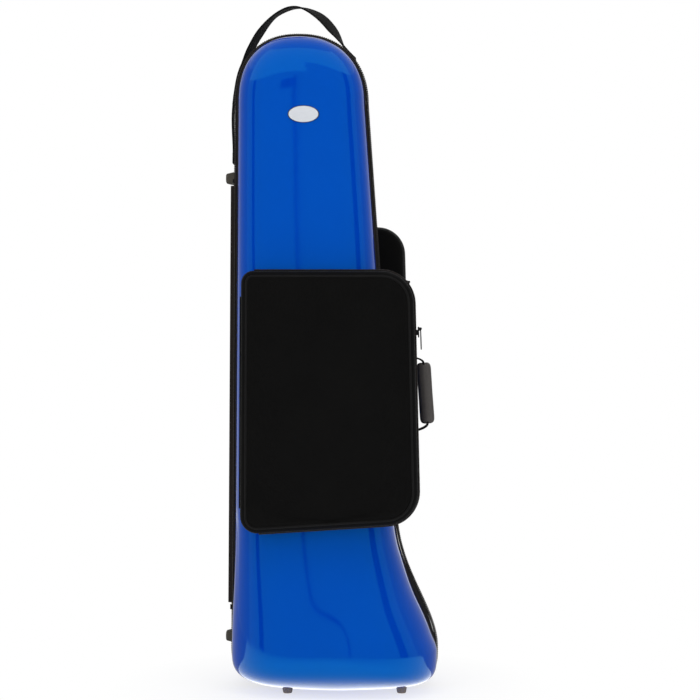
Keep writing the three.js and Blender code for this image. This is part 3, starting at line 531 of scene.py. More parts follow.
def drawRubber(s, dark=(0.045, 0.041, 0.034), pale=(0.1, 0.09, 0.072), rough=0.62):
    grain, scuff = s.noise(900, 3, 0.6), s.noise(70, 5, 0.7)
    return coat(s, (scuff * 1.3 - 0.15).clamp(), dark, pale, rough + scuff * 0.16,
                s.bump(grain, 0.05, 0.6), 0.12)


def drawEdgeTrim(s):
    rib = s.run()[1].wave(1.6)
    wear, grain = s.noise(55, 5, 0.7), s.noise(700, 2, 0.5)
    return coat(s, (wear * 1.5 - 0.35).clamp(), (0.004, 0.0035, 0.004), (0.013, 0.011, 0.012),
                0.42 + wear * 0.22, s.bump(grain, 0.04, 0.5, s.bump(rib, 0.05, 0.35)), 0.12)


def drawTape(s):
    along, across, _ = s.run()
    twill = (along + across).wave(1.1) * (along - across).wave(1.1)
    fade = s.noise(24, 4, 0.6)
    return coat(s, (fade * 0.8 + twill * 0.18).clamp(), (0.005, 0.0038, 0.003), (0.02, 0.0145, 0.0115),
                0.78 + fade * 0.15, s.bump(twill, 0.12, 0.7), 0.1, (0.06, 0.45))


def drawNylon(s):
    weave = s.weave(0.95)
    lump, dust = s.noise(16, 4, 0.55), s.noise(420, 4, 0.75)
    tone = (0.35 + weave * 0.3 + (lump - 0.5) * 0.6 + (dust - 0.5) * 0.5).clamp()
    return coat(s, tone, (0.0015, 0.0015, 0.0016), (0.0072, 0.007, 0.0066), 0.66 + lump * 0.2,
                s.bump(weave, 0.16, 0.8, s.bump(s.noise(34, 3, 0.5), 0.9, 0.35)), 0.03, (0.015, 0.4))


def drawWebbing(s):
    along, across, _ = s.run()
    pick = (along * (tau / (2.1 * mm)) + across.wave(3.4) * 1.4).sin()
    cord = across.wave(1.7)
    fuzz = s.noise(800, 4, 0.8)
    height = abs(pick) * 0.7 + cord * cord * 0.5 + fuzz * 0.3
    return coat(s, (height * 0.5).clamp(), (0.002, 0.002, 0.0022), (0.01, 0.0096, 0.0095),
                0.72 + fuzz * 0.2, s.bump(height, 0.22, 0.8), 0.08, (0.03, 0.45))


def drawPlush(s):
    pile, brush = s.noise(1300, 5, 0.8), s.noise(26, 4, 0.6)
    return coat(s, (pile * 0.55 + brush * 0.7 - 0.15).clamp(), (0.005, 0.005, 0.007), (0.034, 0.034, 0.04),
                0.93, s.bump(pile, 0.5, 0.7, s.bump(brush, 1.0, 0.25)), sheen=(0.5, 0.4))


def drawLeather(s):
    cell = s.node("TexVoronoi", {"feature": "DISTANCE_TO_EDGE"}, {"Vector": s.place(), "Scale": 520.0})
    crease = s.noise(90, 4, 0.6)
    grain = s.between(cell, 0.0, 0.16)
    return coat(s, (grain * 0.55 + crease * 0.5).clamp(), (0.017, 0.014, 0.0125), (0.062, 0.054, 0.048),
                0.5 + crease * 0.22, s.bump(grain, 0.1, 0.7, s.bump(crease, 0.5, 0.35)))


def drawMetal(s, dark=(0.014, 0.014, 0.015), worn=(0.3, 0.29, 0.28), metallic=0.85, rough=0.3):
    wear = s.between(s.noise(260, 6, 0.7), 0.62, 0.78)
    return coat(s, wear, dark, worn, rough + s.noise(120, 4, 0.6) * 0.18,
                s.bump(s.noise(1500, 2, 0.5), 0.012, 0.5)) | {"Metallic": metallic}


def drawBadge(s):
    x, y, z = s.axes(s.place())
    brushed = s.noise(1.0, vector=s.node("CombineXYZ", {}, {0: x * 60, 1: y, 2: z * 4000}))
    fog = s.noise(90, 3, 0.6)
    return coat(s, (brushed * 0.7 + fog * 0.3).clamp(), (0.5, 0.53, 0.57), (0.78, 0.8, 0.84),
                0.28 + brushed * 0.14, s.bump(brushed, 0.015, 0.5)) | {"Metallic": 0.35, "Coat Weight": 0.3}


def drawThread(s):
    twist = (s.noise(1400, 2, 0.5) * 1.2 - 0.1).clamp()
    return coat(s, twist, (0.008, 0.008, 0.009), (0.035, 0.034, 0.033), 0.55 + twist * 0.1,
                s.bump(twist, 0.05, 0.6))


def drawTooth(s):
    mould = s.noise(500, 3, 0.6)
    return coat(s, mould, (0.006, 0.0048, 0.004), (0.024, 0.019, 0.016), 0.3 + mould * 0.2,
                s.bump(mould, 0.03, 0.4), 0.2)


gelcoat = finish("blueGelcoat", drawGelcoat)
edgeTrim = finish("softBlackTrim", drawEdgeTrim)
tapeCloth = finish("zipTape", drawTape)
toothPlastic = finish("zipTooth", drawTooth)
nylon = finish("pocketNylon", drawNylon)
webCloth = finish("ribbedWebbing", drawWebbing)
plush = finish("plushLining", drawPlush)
rubber = finish("greyRubber", drawRubber)
# Pale brownish-grey rubber for the bottom feet, made lighter still as painted light that makes up for the
# shade under the case
paleRubberPaintedLight = finish("paleRubberPaintedLight", drawRubber, (0.26, 0.21, 0.16), (0.46, 0.38, 0.29))
blackRubber = finish("blackRubber", drawRubber, (0.008, 0.008, 0.008), (0.022, 0.021, 0.02), 0.55)
leather = finish("gripLeather", drawLeather)
blackMetal = finish("blackMetal", drawMetal)
screwMetal = finish("screwMetal", drawMetal, (0.3, 0.3, 0.31), (0.55, 0.55, 0.55), 1.0, 0.32)
badgeMetal = finish("badgeFace", drawBadge)
badgeRim = finish("badgeRim", drawMetal, (0.02, 0.02, 0.03), (0.2, 0.2, 0.22), 0.5, 0.3)
thread = finish("sewingThread", drawThread)
print("materials ready")

# Shells: one closed skin each, crown to rim and back
shellLook = {"steps": 30, "innerSteps": 14, "lip": 0.5}
surface = {}
for side, half, body in halves:
    skin = shellRings(side, 0, shellLook["steps"])
    inner = shellRings(side, -case["wall"], shellLook["innerSteps"])[::-1]
    rimEdge = skin[-1].copy()
    rimEdge[:, [0, 2]] -= rimOut * shellLook["lip"]
    skin[-1][:, 1] = side * (case["seam"] + shellLook["lip"])
    shape = Shape().grid(np.concatenate([skin, rimEdge[None], inner]), closedCols=True)
    shape.make(f"{half}_moulding", gelcoat, 40, body, "gelcoat", f"{half}_shell")
    # What the rest is set against
    surface[side] = BVHTree.FromPolygons([tuple(p) for p in skin.reshape(-1, 3)], quads(*skin.shape[:2]))


# Depth of a shell at a place in X and Z, or the fallback where it has ended
def shellDepth(side, x, z, fallback=0):
    hit = surface[side].ray_cast(Vector((x, side * 400, z)), Vector((0, -side, 0)))
    return fallback if hit[0] is None else abs(hit[0].y)


print("shells ready")


# The rim above or below the joint of its binding
def bindingRun(upper):
    line, joint = rimStations(194, 60, 84)[0], trim["bindingJoint"]
    held = (line[:, 1] > joint + fit) if upper else (line[:, 1] < joint)
    first = next(i for i in range(len(line)) if held[i] and not held[i - 1])
    run = np.roll(line, -first, 0)[:held.sum()]
    level = joint + (fit if upper else -0.05)
    start, end = [(leftAt(level), level), (rightAt(level), level)][::1 if upper else -1]
    return np.vstack([start, run, end])


# Edge binding, with a rolled lip on the shell
for side, half, body in halves:
    for upper, part, foot in [(True, "edge", trim["bindingFoot"]), (False, "flare", trim["flareFoot"])]:
        run, deep = bindingRun(upper), trim["bindingDepth"]
        section = rounded([(foot, 0.5), (bindingTop, 0.5), (bindingTop, deep), (foot, deep + 0.4)],
                          [0.3, 1.0, 2.6, 0.3], 4)
        shape = Shape().solid(stripRows(run, outward(run), section, side))
        shape.make(f"{half}_{part}_trim", edgeTrim, 50, body, "edge_trim", f"{half}_{part}_binding")

# Zip round the case from one end of the hinge to the other
leftCount = 900
denseLine = rimStations(leftCount, 500, 700)[0]
leftLine, leftZ = denseLine[:leftCount], denseLine[:leftCount, 1]
zipLine = np.vstack([leftLine[leftZ > trim["hingeHigh"] + 0.4], denseLine[leftCount:],
                     leftLine[leftZ < trim["hingeLow"] - 0.4]])


# Teeth along a flat line: way tells their half of the zip, cross which way they reach. Local X
# stands out, local Y crosses the seam and local Z runs along.
def zipTeeth(shape, line, pitch, way, cross, middle, place, width, rise, reach):
    ring = rounded([(-rise / 2, -pitch * 0.3), (rise / 2, -pitch * 0.24), (rise / 2, pitch * 0.24),
                    (-rise / 2, pitch * 0.3)], 0.35 * pitch, 2)
    rows = [(0.92, width), (1.0, width * 0.75), (1.0, width * 0.12), (0.72, -reach)]
    teeth = evenly(line, 2 * int(lengths(line)[-1] / pitch) + 1)[(0 if way < 0 else 1)::2]
    out = outward(teeth)
    axes = np.stack([inSpace(out), np.tile(yAxis * cross, (len(out), 1)), inSpace(out[:, ::-1] * (1, -1))], 1)
    tooth = closedForm([inSpace(ring * share, y) for share, y in rows])
    shape.scatter(tooth, place(teeth + out * middle), axes, 1)


for side, half, body in halves:
    line = evenly(zipLine, 360)
    out, tapeTop = outward(line), tapeFoot + trim["tapeThick"]
    tape = oblong((tapeFoot, 0.5), (tapeTop, trim["tapeWidth"]), 0.45, 2)
    shape = Shape().solid(stripRows(line, out, tape, side))
    zipTeeth(shape, zipLine, trim["toothPitch"], side, side, tapeFoot + 0.3 + trim["coilRise"] / 2,
             lambda flat: inSpace(flat, side * 0.45), trim["coilWidth"] - 0.5, trim["coilRise"] - 0.6, 0.35)
    sewn = stripLine(line, out, tapeTop + 0.1, side * (trim["tapeWidth"] - 2.2))
    stitch(shape, sewn, inSpace(out), 4.4, 0.3, 2)
    shape.make(f"{half}_zip_run", [tapeCloth, toothPlastic, thread], 50, body, "zip_coil", f"{half}_zip_half")
print("rim trim ready")


def bothSides(part):
    return part + [(a, -b) for a, b in part[::-1]]


# Fabric hinge: one tape over the fold
line, out = sidePoint(np.linspace(trim["hingeLow"], trim["hingeHigh"], 60), False)
outerLine = [(tapeFoot + 0.3, 12.8), (tapeFoot + 1.3, 12.4), (tapeFoot + 1.5, 9), (tapeFoot + 1.6, 6.2),
             (tapeFoot + 2.3, 4.2), (foldOut - 0.8, 2.3), (foldOut + 0.7, 1.35), (foldOut + 1.35, 0.45)]
innerLine = [(tapeFoot + 0.1, 12.4), (tapeFoot + 0.1, 9), (tapeFoot + 0.1, 6), (tapeFoot + 0.8, 3.6),
             (foldOut - 1.6, 1.6), (foldOut - 0.6, 0.5)]
shape = Shape().solid(stripRows(line, out, bothSides(outerLine) + bothSides(innerLine)[::-1], 1))
for depth in (11.0, 5.4, -11.0, -5.4):
    stitch(shape, stripLine(line, out, tapeFoot + 1.75, depth), -xAxis, 4.4, 0.3)
hingeCover = shape.build("hinge_cover", [tapeCloth, thread], 60)
hingeX, seamY = (foldX + shift[0]) * mm, shift[1] * mm
seamY + 3.2 * mm
seamY - 3.2 * mm
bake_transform(hingeCover)
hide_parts("back_hinge_leaf", "front_hinge_leaf", "hinge_bead")

# End stops of the zip
for name, z in [("low", trim["hingeLow"] - 7), ("high", trim["hingeHigh"] + 7)]:
    line, out = sidePoint(np.linspace(z - 3.5, z + 3.5, 6), False)
    top = coilTop + fit
    hook = [(-4.2, 4.4), (-4.2, 3.6), (0, 3.6), (0, 0.5), (1.5, 0.5), (1.5, 4.4)]
    section = rounded([(top + push, depth) for push, depth in hook], 0.5, 2)
    stop = Shape().solid(stripRows(line, out, section, 1)).build(f"zip_end_{name}", blackMetal)
    soften(stop, 0.3)
    settle(stop, "case", "dark_metal", f"zip_stop_{name}")
print("hinge ready")

# Feet: a screwed stud with a hollow sole, and a rounded block
feet = {
    "x": 61.5, "y": 60, "spread": 159, "neck": 6.5, "root": 7.6, "neckRise": 2.0,
    "sole": [(1.8, 1.6), (2.0, 1.4), (2.0, 0.9), (2.6, 0.9), (2.8, 0.05), (4.6, 0.0), (5.6, 0.25),
             (6.15, 0.9)],
    "reach": 22.5, "inner": 17, "width": 24, "length": 20, "places": [("high", 726), ("low", 66)],
    # out from the foot's face, trimmed from its outline, corner radius
    "block": [(0.9, 9.5, 2), (0.3, 7.8, 3), (0, 6.4, 4), (0.25, 4.8, 4), (1.1, 3.4, 4), (2.6, 2.9, 4),
              (7, 1.9, 4), (12, 0.9, 4), (16, 0.2, 4), (30.5, 0.1, 4)],
}


# Where a stud ends, just under the shell
def studTop(side, x, y):
    hit = surface[side].ray_cast(Vector((x, y, -50)), Vector((0, 0, 1)))
    return hit[0].z - 0.1


for side, half, body in halves:
    for label, way in [("left", -0.5), ("right", 0.5)]:
        x, y, rise = feet["x"] + way * feet["spread"], side * feet["y"], feet["neckRise"]
        rows = [[(x + r * cos(a), y + r * sin(a), z) for a in turns(32)]
                for r, z in feet["sole"] + [(feet["neck"], rise)]]
        for share in (0.4, 0.8, 1.0):
            r = feet["neck"] + (feet["root"] - feet["neck"]) * share
            ring = [(x + r * cos(a), y + r * sin(a)) for a in turns(32)]
            rows.append([(px, py, rise + (studTop(side, px, py) - rise) * share) for px, py in ring])
        shape = Shape().solid(rows)
        screw, faces = turned([(2.4, 1.0), (2.4, 1.45), (1.9, 1.7)], 18)
        upturned = (screw * (1, 1, -1) + (0, 0, 2.6), [f[::-1] for f in faces])
        shape.scatter(upturned, [(x, y, 0)], [np.eye(3)], 1)
        # The studs' pale rubber is partly their own tone and partly painted light against the shade under the
        # case
        shape.make(f"{half}_stud_{label}", [paleRubberPaintedLight, screwMetal], 35, body, "foot_rubber",
                   f"{half}_bottom_foot_{label}")
outer, middle = -case["halfWidth"] - feet["reach"], feet["inner"] + feet["width"] / 2
for label, z in feet["places"]:
    rows = []
    for push, trimmed, corner in feet["block"]:
        w, l = feet["width"] / 2 - trimmed, feet["length"] / 2 - trimmed
        rows.append([(outer + push, middle + a, z + b) for a, b in oblong((-w, -l), (w, l), corner, 4)])
    shape = Shape().solid(rows)
    shape.scatter(turned([(2.6, 0.0), (2.6, 0.7), (1.8, 1.2)], 18), [(outer + 1.1, middle, z)],
                  [[yAxis, zAxis, -xAxis]], 1)
    shape.make(f"back_bumper_{label}", [rubber, screwMetal], 35, "case", "foot_rubber",
               f"back_side_foot_{label}")
print("feet ready")

# Badge: a bare oval plate with a dark raised border
badge = {
    "x": 4, "z": 808, "width": 44, "height": 24,
    "profile": [(0.0, 1.15), (0.2, 1.14), (0.45, 1.08), (0.7, 0.98), (0.88, 0.9), (0.945, 0.9), (0.955, 1.35),
                (0.985, 1.4), (1.0, 1.1), (1.0, 0.0), (0.5, 0.0), (0.0, 0.0)],
}
rows = []
for share, rise in badge["profile"]:
    ring = circle(1, 72) * share * (badge["width"] / 2, badge["height"] / 2) + (badge["x"], badge["z"])
    rows.append([(x, -(shellDepth(-1, x, z) + 0.05 + rise), z) for x, z in ring])
shape = Shape()
for part, slot in [(rows[:6], 0), (rows[5:10], 1), (rows[9:], 0)]:
    shape.grid(part, closedCols=True, slot=slot)
shape.make("badge_plate", [badgeMetal, badgeRim], 50, "lid", "badge_metal", "badge")
print("badge ready")

# Pockets
pouch = {
    "left": -81.5, "across": 46, "up": 68, "zip": 18, "deep": 43, "back": 14, "wall": 3, "shoulder": 8,
    "rise": 0.062, "piping": 1.6, "toothPitch": 1.9, "crown": 2.6, "slack": 0.012, "frames": 24, "reach": 5,
    "runnerUp": 0.765, "runnerLean": 0.03,
    # inset from the border and depth from the zip: body, then panel and lining, face first
    "body": [(6, -14), (3.4, -12), (2.0, -8), (1.0, -4), (0.3, 0), (0, 6), (0, 12), (0.2, 17.5)],
    "panel": [(10.6, 42.8), (9.2, 42), (7, 41.6), (5.2, 40.2), (3.4, 38), (2, 35), (1.1, 32), (0.5, 28.5),
              (0.1, 24), (0.1, 18.5), (3, 18.5), (3.2, 24), (4.4, 30), (6.5, 36), (11.5, 39.6)],
}
pockets = {
    "front": {"side": -1, "body": "lid", "right": 160.6, "lean": 0.02, "runner": 160.12,
              "bottom": 226, "top": 588, "rounds": [17, 46, 46, 24]},
    "back": {"side": 1, "body": "case", "right": 152.5, "lean": 0.03, "runner": 149.69,
             "bottom": 304, "top": 657, "rounds": [25, 38, 30, 22]},
}
clothHinge = {
    "foot": 36, "thick": 0.8, "bend": (15.5, 20.5),
    "path": [(0.2, 7), (0.2, 11), (0.5, 14.5), (1.0, 16.5), (1.2, 18), (1.0, 19.5), (0.5, 21.5), (0.2, 25),
             (0.2, 27)],
}


# Border of a pocket, clockwise from the middle of its top left corner
def pocketBorder(pocket, inset):
    left, top, bottom = pouch["left"], pocket["top"], pocket["bottom"]
    low = bottom + (pocket["right"] - left) * pouch["rise"]
    right = [pocket["right"] + ((bottom + top) / 2 - z) * pocket["lean"] for z in (top, low)]
    corners = np.array([(left, top), (right[0], top), (right[1], low), (left, bottom)])
    along = unit(np.roll(corners, -1, 0) - corners)
    inward = np.stack([along[:, 1], -along[:, 0]], -1)
    arcs = []
    for i, at in enumerate(corners):
        radius = max(pocket["rounds"][i] - inset, pocket["rounds"][i] / 4)
        cosine = inward[i - 1] @ inward[i]
        x, z = at + (inward[i - 1] + inward[i]) * (inset + radius) / (1 + cosine)
        start = atan2(-inward[i - 1][1], -inward[i - 1][0])
        middle, end = start - acos(cosine) / 2, start - acos(cosine)
        arcs.append([arc(x, z, radius, start, middle, 12), arc(x, z, radius, middle, end, 12)])
    sides = [np.vstack([arcs[i][1], arcs[(i + 1) % 4][0]]) for i in range(4)]
    counts = [pouch["across"], pouch["up"]] * 2
    return np.vstack([evenly(part, count + 1)[:-1] for part, count in zip(sides, counts)])


# Grid of points inside a border, with the border's own points round its edge
def fillGrid(border):
    nu, nv = pouch["across"], pouch["up"]
    ring = np.vstack([border, border[:1]])
    top, right = ring[:nu + 1], ring[nu:nu + nv + 1]
    bottom, left = ring[nu + nv:2 * nu + nv + 1][::-1], ring[2 * nu + nv:][::-1]
    u, v = np.linspace(0, 1, nu + 1)[None, :, None], np.linspace(0, 1, nv + 1)[:, None, None]
    flat = (1 - v) * top[None] + v * bottom[None] + (1 - u) * left[:, None] + u * right[:, None]
    flat -= (1 - v) * ((1 - u) * top[0] + u * top[-1])
    return flat - v * ((1 - u) * bottom[0] + u * bottom[-1])


# The front cloth of a panel hangs a little slack between its piping
def slackCloth(rows, side):
    nv, nu = rows.shape[:2]
    mesh = bpy.data.meshes.new("slackCloth")
    mesh.from_pydata((rows.reshape(-1, 3) * mm).tolist(), [], quads(nv, nu, closedCols=False))
    sheet = addObject("slackCloth", mesh)
    pins = sheet.vertex_groups.new(name="pins")
    edge = [i * nu + j for i in range(nv) for j in range(nu) if i in (0, nv - 1) or j in (0, nu - 1)]
    pins.add(edge, 1.0, "REPLACE")
    cloth = sheet.modifiers.new("cloth", "CLOTH")
    settings = cloth.settings
    settings.quality, settings.mass, settings.air_damping = 6, 0.25, 4
    settings.tension_stiffness = settings.compression_stiffness = 25
    settings.bending_stiffness = 3
    settings.vertex_group_mass = "pins"
    settings.shrink_min = -pouch["slack"]
    settings.use_pressure = True
    settings.uniform_pressure_force = 0.4 * (1 if mesh.polygons[0].normal.y * side > 0 else -1)
    settings.effector_weights.gravity = 0.6
    cloth.point_cache.frame_end = pouch["frames"]
    for step in range(1, pouch["frames"] + 1):
        bpy.context.scene.frame_set(step)
    moved = sheet.evaluated_get(bpy.context.evaluated_depsgraph_get()).to_mesh()
    points = np.array([v.co for v in moved.vertices]).reshape(rows.shape) / mm
    bpy.context.scene.frame_set(1)
    bpy.data.objects.remove(sheet)
    return rows + np.clip(points - rows, -pouch["reach"], pouch["reach"])


def panelFace(rows, side):
    nv, nu = rows.shape[:2]
    u, v = np.linspace(0, 1, nu)[None, :], np.linspace(0, 1, nv)[:, None]
    rows[..., 1] += side * pouch["crown"] * (np.sin(np.pi * u) * np.sin(np.pi * v)) ** 0.5
    return slackCloth(rows, side)


for half, pocket in pockets.items():
    side, caseBody, panelBody = pocket["side"], pocket["body"], f"{half}_panel"
    back, wall, seam = pouch["back"], pouch["wall"], pouch["zip"]
    middleZ = (pocket["bottom"] + pocket["top"]) / 2
    baseDepth = float(depthAt(middleZ))

    def lay(flat, depth):
        flat = np.asarray(flat, float)
        return inSpace(flat, side * (baseDepth + (middleZ - flat[..., 1]) * depthLean + depth))

    def ringAt(inset, depth):
        return lay(pocketBorder(pocket, inset), depth)

    def fillAt(inset, depth):
        return lay(fillGrid(pocketBorder(pocket, inset)), depth)

    # Body: a tray that lies against the shell and reaches past its edge
    def against(rows, lift=0.3):
        for point in rows.reshape(-1, 3):
            point[1] = side * max(abs(point[1]), shellDepth(side, point[0], point[2]) + lift)
        return rows

    rings = [against(ringAt(i, d)) for i, d in pouch["body"]]
    rings += [against(ringAt(i + wall, max(d, wall - back)), wall + 0.3) for i, d in pouch["body"][::-1]]
    shape = Shape().grid(rings, closedCols=True).grid(against(fillAt(6, -back)))
    shape.grid(against(fillAt(6 + wall, wall - back), wall + 0.3))
    for depth in (3.5, seam - 7):
        line = against(ringAt(-0.1, depth))[:pouch["across"] * 2 + pouch["up"]]
        stitch(shape, line, inSpace(outward(line[:, [0, 2]])), 4.0, 0.28)
    shape.make(f"{half}_gusset", [nylon, thread], 50, caseBody, "nylon", f"{half}_pocket_body")

    # Panel: side, rolled shoulder and slack front cloth, with its lining
    shape = Shape().grid([ringAt(i, d) for i, d in pouch["panel"]], closedCols=True)
    shape.grid(panelFace(fillAt(*pouch["panel"][0]), side)).grid(fillAt(*pouch["panel"][-1]))
    line = ringAt(1.4, 33.2)
    line = np.vstack([line, line[:1]])
    stitch(shape, line, inSpace(outward(line[:, [0, 2]]), side * 0.4), 4.0, 0.28)
    panel = shape.make(f"{half}_pocket_front", [nylon, thread], 60, panelBody, "nylon",
                       f"{half}_pocket_panel")

    # Cloth hinge down the left side
    hingeZ = np.linspace(pocket["bottom"] + clothHinge["foot"], pocket["top"] - clothHinge["foot"], 40)
    outside = [(push + clothHinge["thick"], depth) for push, depth in clothHinge["path"]]
    rows = [lay(np.stack([np.full(40, pouch["left"] - push), hingeZ], -1), depth)
            for push, depth in outside + clothHinge["path"][::-1]]
    cover = Shape().solid(np.stack(rows, 1)).build(f"{half}_pocket_hinge", nylon, 60)
    start, end = [tuple((lay([pouch["left"], middleZ], depth) + shift) * mm) for depth in clothHinge["bend"]]
    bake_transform(cover)

    line = ringAt(pouch["shoulder"] + 0.4, pouch["deep"] - 1.2)
    shape = Shape().loop(tubeRows(line, circle(pouch["piping"], 12), closed=True))
    shape.make(f"{half}_pocket_cord", webCloth, 60, panelBody, "edge_trim", f"{half}_pocket_piping")

    # Zip round the top, the right side and the bottom
    run = pocketBorder(pocket, -0.2)[3:2 * pouch["across"] + pouch["up"] - 3]
    for way, label, body in [(-1, "inner", caseBody), (1, "outer", panelBody)]:
        near, far = seam + way * 0.5, seam + way * 3.6
        tape = [(0, near), (1.1, near), (1.1, far - way * 0.4), (0.7, far), (0, far)]
        shape = Shape().solid(np.stack([lay(run + outward(run) * push, depth) for push, depth in tape], 1))
        zipTeeth(shape, run, pouch["toothPitch"], way, side * way, 1.45,
                 lambda flat: lay(flat, near), 1.7, 1.3, 0.3)
        shape.make(f"{half}_pocket_zip_{label}_run", [tapeCloth, toothPlastic], 50, body, "zip_coil",
                   f"{half}_pocket_zip_{label}")
print("pockets ready")

# Zip sliders and their pulls
slider = {"length": 15, "width": 10, "thick": 1.6, "gap": 3.2, "pin": 0.7}
pullTab = {"eye": 1.9, "length": 29, "width": 8, "neck": 2.6, "thick": 1.5, "rim": 1.7}
pinZ = slider["length"] / 2 - 1 - pullTab["eye"]


def turnY(angle):
    c, s = cos(angle), sin(angle)
    return np.array([[c, 0, s, 0], [0, 1, 0, 0], [-s, 0, c, 0], [0, 0, 0, 1.0]])


def turnX(angle):
    c, s = cos(angle), sin(angle)
    return np.array([[1, 0, 0, 0], [0, c, -s, 0], [0, s, c, 0], [0, 0, 0, 1.0]])


def moved(matrix, x, y, z):
    made = matrix.copy()
    made[:3, 3] = (x, y, z)
    return made


# A place on the right side, some way out from the shell's edge
def onRight(z, y, rise):
    at, out = [v[0] for v in sidePoint(z, True)]
    return moved(turnY(-atan2(out[1], out[0])), at[0] + out[0] * rise, y, at[1] + out[1] * rise)


# Plate in local X (thickness) with its outline in Y and Z and softened edges
def plateRows(outline, low, high, ease):
    middle = outline.mean(0)
    reach = outline - middle
    size = np.linalg.norm(reach, axis=1)[:, None]
    return [[(x, a, b) for a, b in middle + reach * (1 - pull / size)]
            for x, pull in [(low, ease), (low + ease, 0), (high - ease, 0), (high, ease)]]


def addSlider(label, place, side, top, half, runner, tab, sliderNode, pullNode):
    length, width, thick = slider["length"] / 2, slider["width"] / 2, slider["thick"]
    plan = [(-0.62, -1), (0.62, -1), (1, -0.1), (0.9, 1), (-0.9, 1), (-1, -0.1)]
    plan = rounded([(width * a, length * b) for a, b in plan], 3.2, 4)
    shape = Shape().solid(plateRows(plan, top, top + thick, 0.45))
    flange = oblong((top - 2.1, -length / 2), (top + 0.8, length / 2), 0.6)
    shape.prism(flange, side * (half + 0.35), side * (half + 1.55))
    # Bridge over the pin
    ear = rounded([(top + 0.8, pinZ - 3.2), (top + thick + 2.2, pinZ - 2.2), (top + thick + 3.0, pinZ - 0.9),
                   (top + thick + 3.0, pinZ + 1.4), (top + 0.8, pinZ + 2.2)], 0.9)
    for way in (-1, 1):
        shape.prism(ear, way * slider["gap"] / 2, way * (slider["gap"] / 2 + 1))
    pinX = top + thick + pullTab["eye"] + 0.35
    pin = turned([(0.5, -2.9), (slider["pin"], -2.7), (slider["pin"], 2.7), (0.5, 2.9)], 14)
    shape.scatter(pin, [(pinX, 0, pinZ)], [[xAxis, zAxis, yAxis]])
    shape.make(runner, blackMetal, 35, f"{label}_runner", "dark_metal", sliderNode, local=place)
    hang = place @ moved(np.eye(4), pinX, 0, pinZ)
    pullShape().make(tab, blackMetal, 35, f"{label}_pull", "dark_metal", pullNode, local=hang)


# Loop pull: a tapered frame, the eye that turns on the pin, and the stem between them
def pullShape():
    neck, half, foot = pullTab["neck"] / 2, pullTab["width"] / 2, pullTab["width"] / 2 - pullTab["length"]
    inside, t, ease = half - pullTab["rim"], pullTab["thick"] / 2, 0.35
    frames = []
    for r, high, tip, top in [(half, foot / 2, neck * 1.2, -5.2),
                              (inside, foot / 2 - 0.6, neck * 0.35, -8.4)]:
        taper = [(-r, high), (-tip, top), (tip, top), (r, high)]
        frames.append(evenly(np.vstack([arc(0, foot, r, 0, -pi, 16), taper]), 56, True))
    outer, hole = frames
    section = [(ease - t, 0), (-t, 0.3), (-t, 0.7), (ease - t, 1)]
    shape = Shape().loop([[(x, a, b) for a, b in outer + (hole - outer) * share]
                          for x, share in section + [(-x, share) for x, share in section[::-1]]])
    profile = [(1.05, -neck), (1.6, -neck), (1.9, 0.3 - neck), (1.9, neck - 0.3), (1.6, neck), (1.05, neck)]
    shape.loop([[(r * cos(a), y, r * sin(a)) for r, y in profile] for a in turns(20)])
    return shape.prism(oblong((-0.75, -1.2), (0.75, -6.2), 0.3, 2), -neck * 0.95, neck * 0.95)


for half, pocket in pockets.items():
    side, span = pocket["side"], pocket["top"] - pocket["bottom"]
    z, middleZ = pocket["bottom"] + span * pouch["runnerUp"], (pocket["bottom"] + pocket["top"]) / 2
    y = side * (float(depthAt(middleZ)) + (middleZ - z) * depthLean + pouch["zip"])
    tilt = turnX(side * atan(depthLean)) @ turnY(-atan(pouch["runnerLean"]))
    addSlider(half, moved(tilt, pocket["runner"], y, z), -side, 2.7, 3.6, f"{half}_pocket_runner",
              f"{half}_pocket_tab", f"{half}_pocket_slider", f"{half}_pocket_pull")
for label, z in trim["sliders"].items():
    addSlider(label, onRight(z, 0, 0), 1, coilTop + 1, trim["coilWidth"], f"case_runner_{label}",
              f"case_tab_{label}", f"main_slider_{label}", f"main_pull_{label}")
print("sliders ready")

# Webbing loop over the narrow end
web = {
    "width": 26, "thick": 2.6, "y": 21, "twist": 0.55, "leftTwist": 0.24, "tail": (747, 767),
    "leftBase": (0.135, 0.195), "rightBase": (0.725, 0.785), "bow": (-1.135, -0.085),
    "loop": [(-0.7, 1.13), (-0.4, 1.435), (-0.08, 1.535), (0.27, 1.41), (0.53, 1.16)],
}
webCentre = coilTop + fit + web["thick"] / 2


def onTail(z):
    at, out = sidePoint(z, False)
    return inSpace(at[0] + out[0] * webCentre, web["y"])


def onDome(share):
    at, ahead = domePoint(share), domePoint(share + 0.001)
    along = unit(ahead - at)
    return inSpace(at + np.array([-along[1], along[0]]) * webCentre, web["y"])


def free(pair):
    return (pair[0] * case["halfWidth"], web["y"], domeZ + pair[1] * case["domeRise"])


# Centripetal curve through points, evenly spaced
def throughPoints(points, count):
    p = np.array(points, float)
    p = np.vstack([2 * p[0] - p[1], p, 2 * p[-1] - p[-2]])
    line = []
    for i in range(1, len(p) - 2):
        a, b, c = [p[i + k] - p[i + k - 1] for k in (0, 1, 2)]
        da, db, dc = [np.linalg.norm(v) ** 0.5 for v in (a, b, c)]
        t1 = (a / da - (a + b) / (da + db) + b / db) * db
        t2 = (b / db - (b + c) / (db + dc) + c / dc) * db
        for t in np.linspace(0, 1, 60, endpoint=(i == len(p) - 3)):
            line.append((2 * t ** 3 - 3 * t ** 2 + 1) * p[i] + (t ** 3 - 2 * t ** 2 + t) * t1
                        + (-2 * t ** 3 + 3 * t ** 2) * p[i + 1] + (t ** 3 - t ** 2) * t2)
    return evenly(line, count)


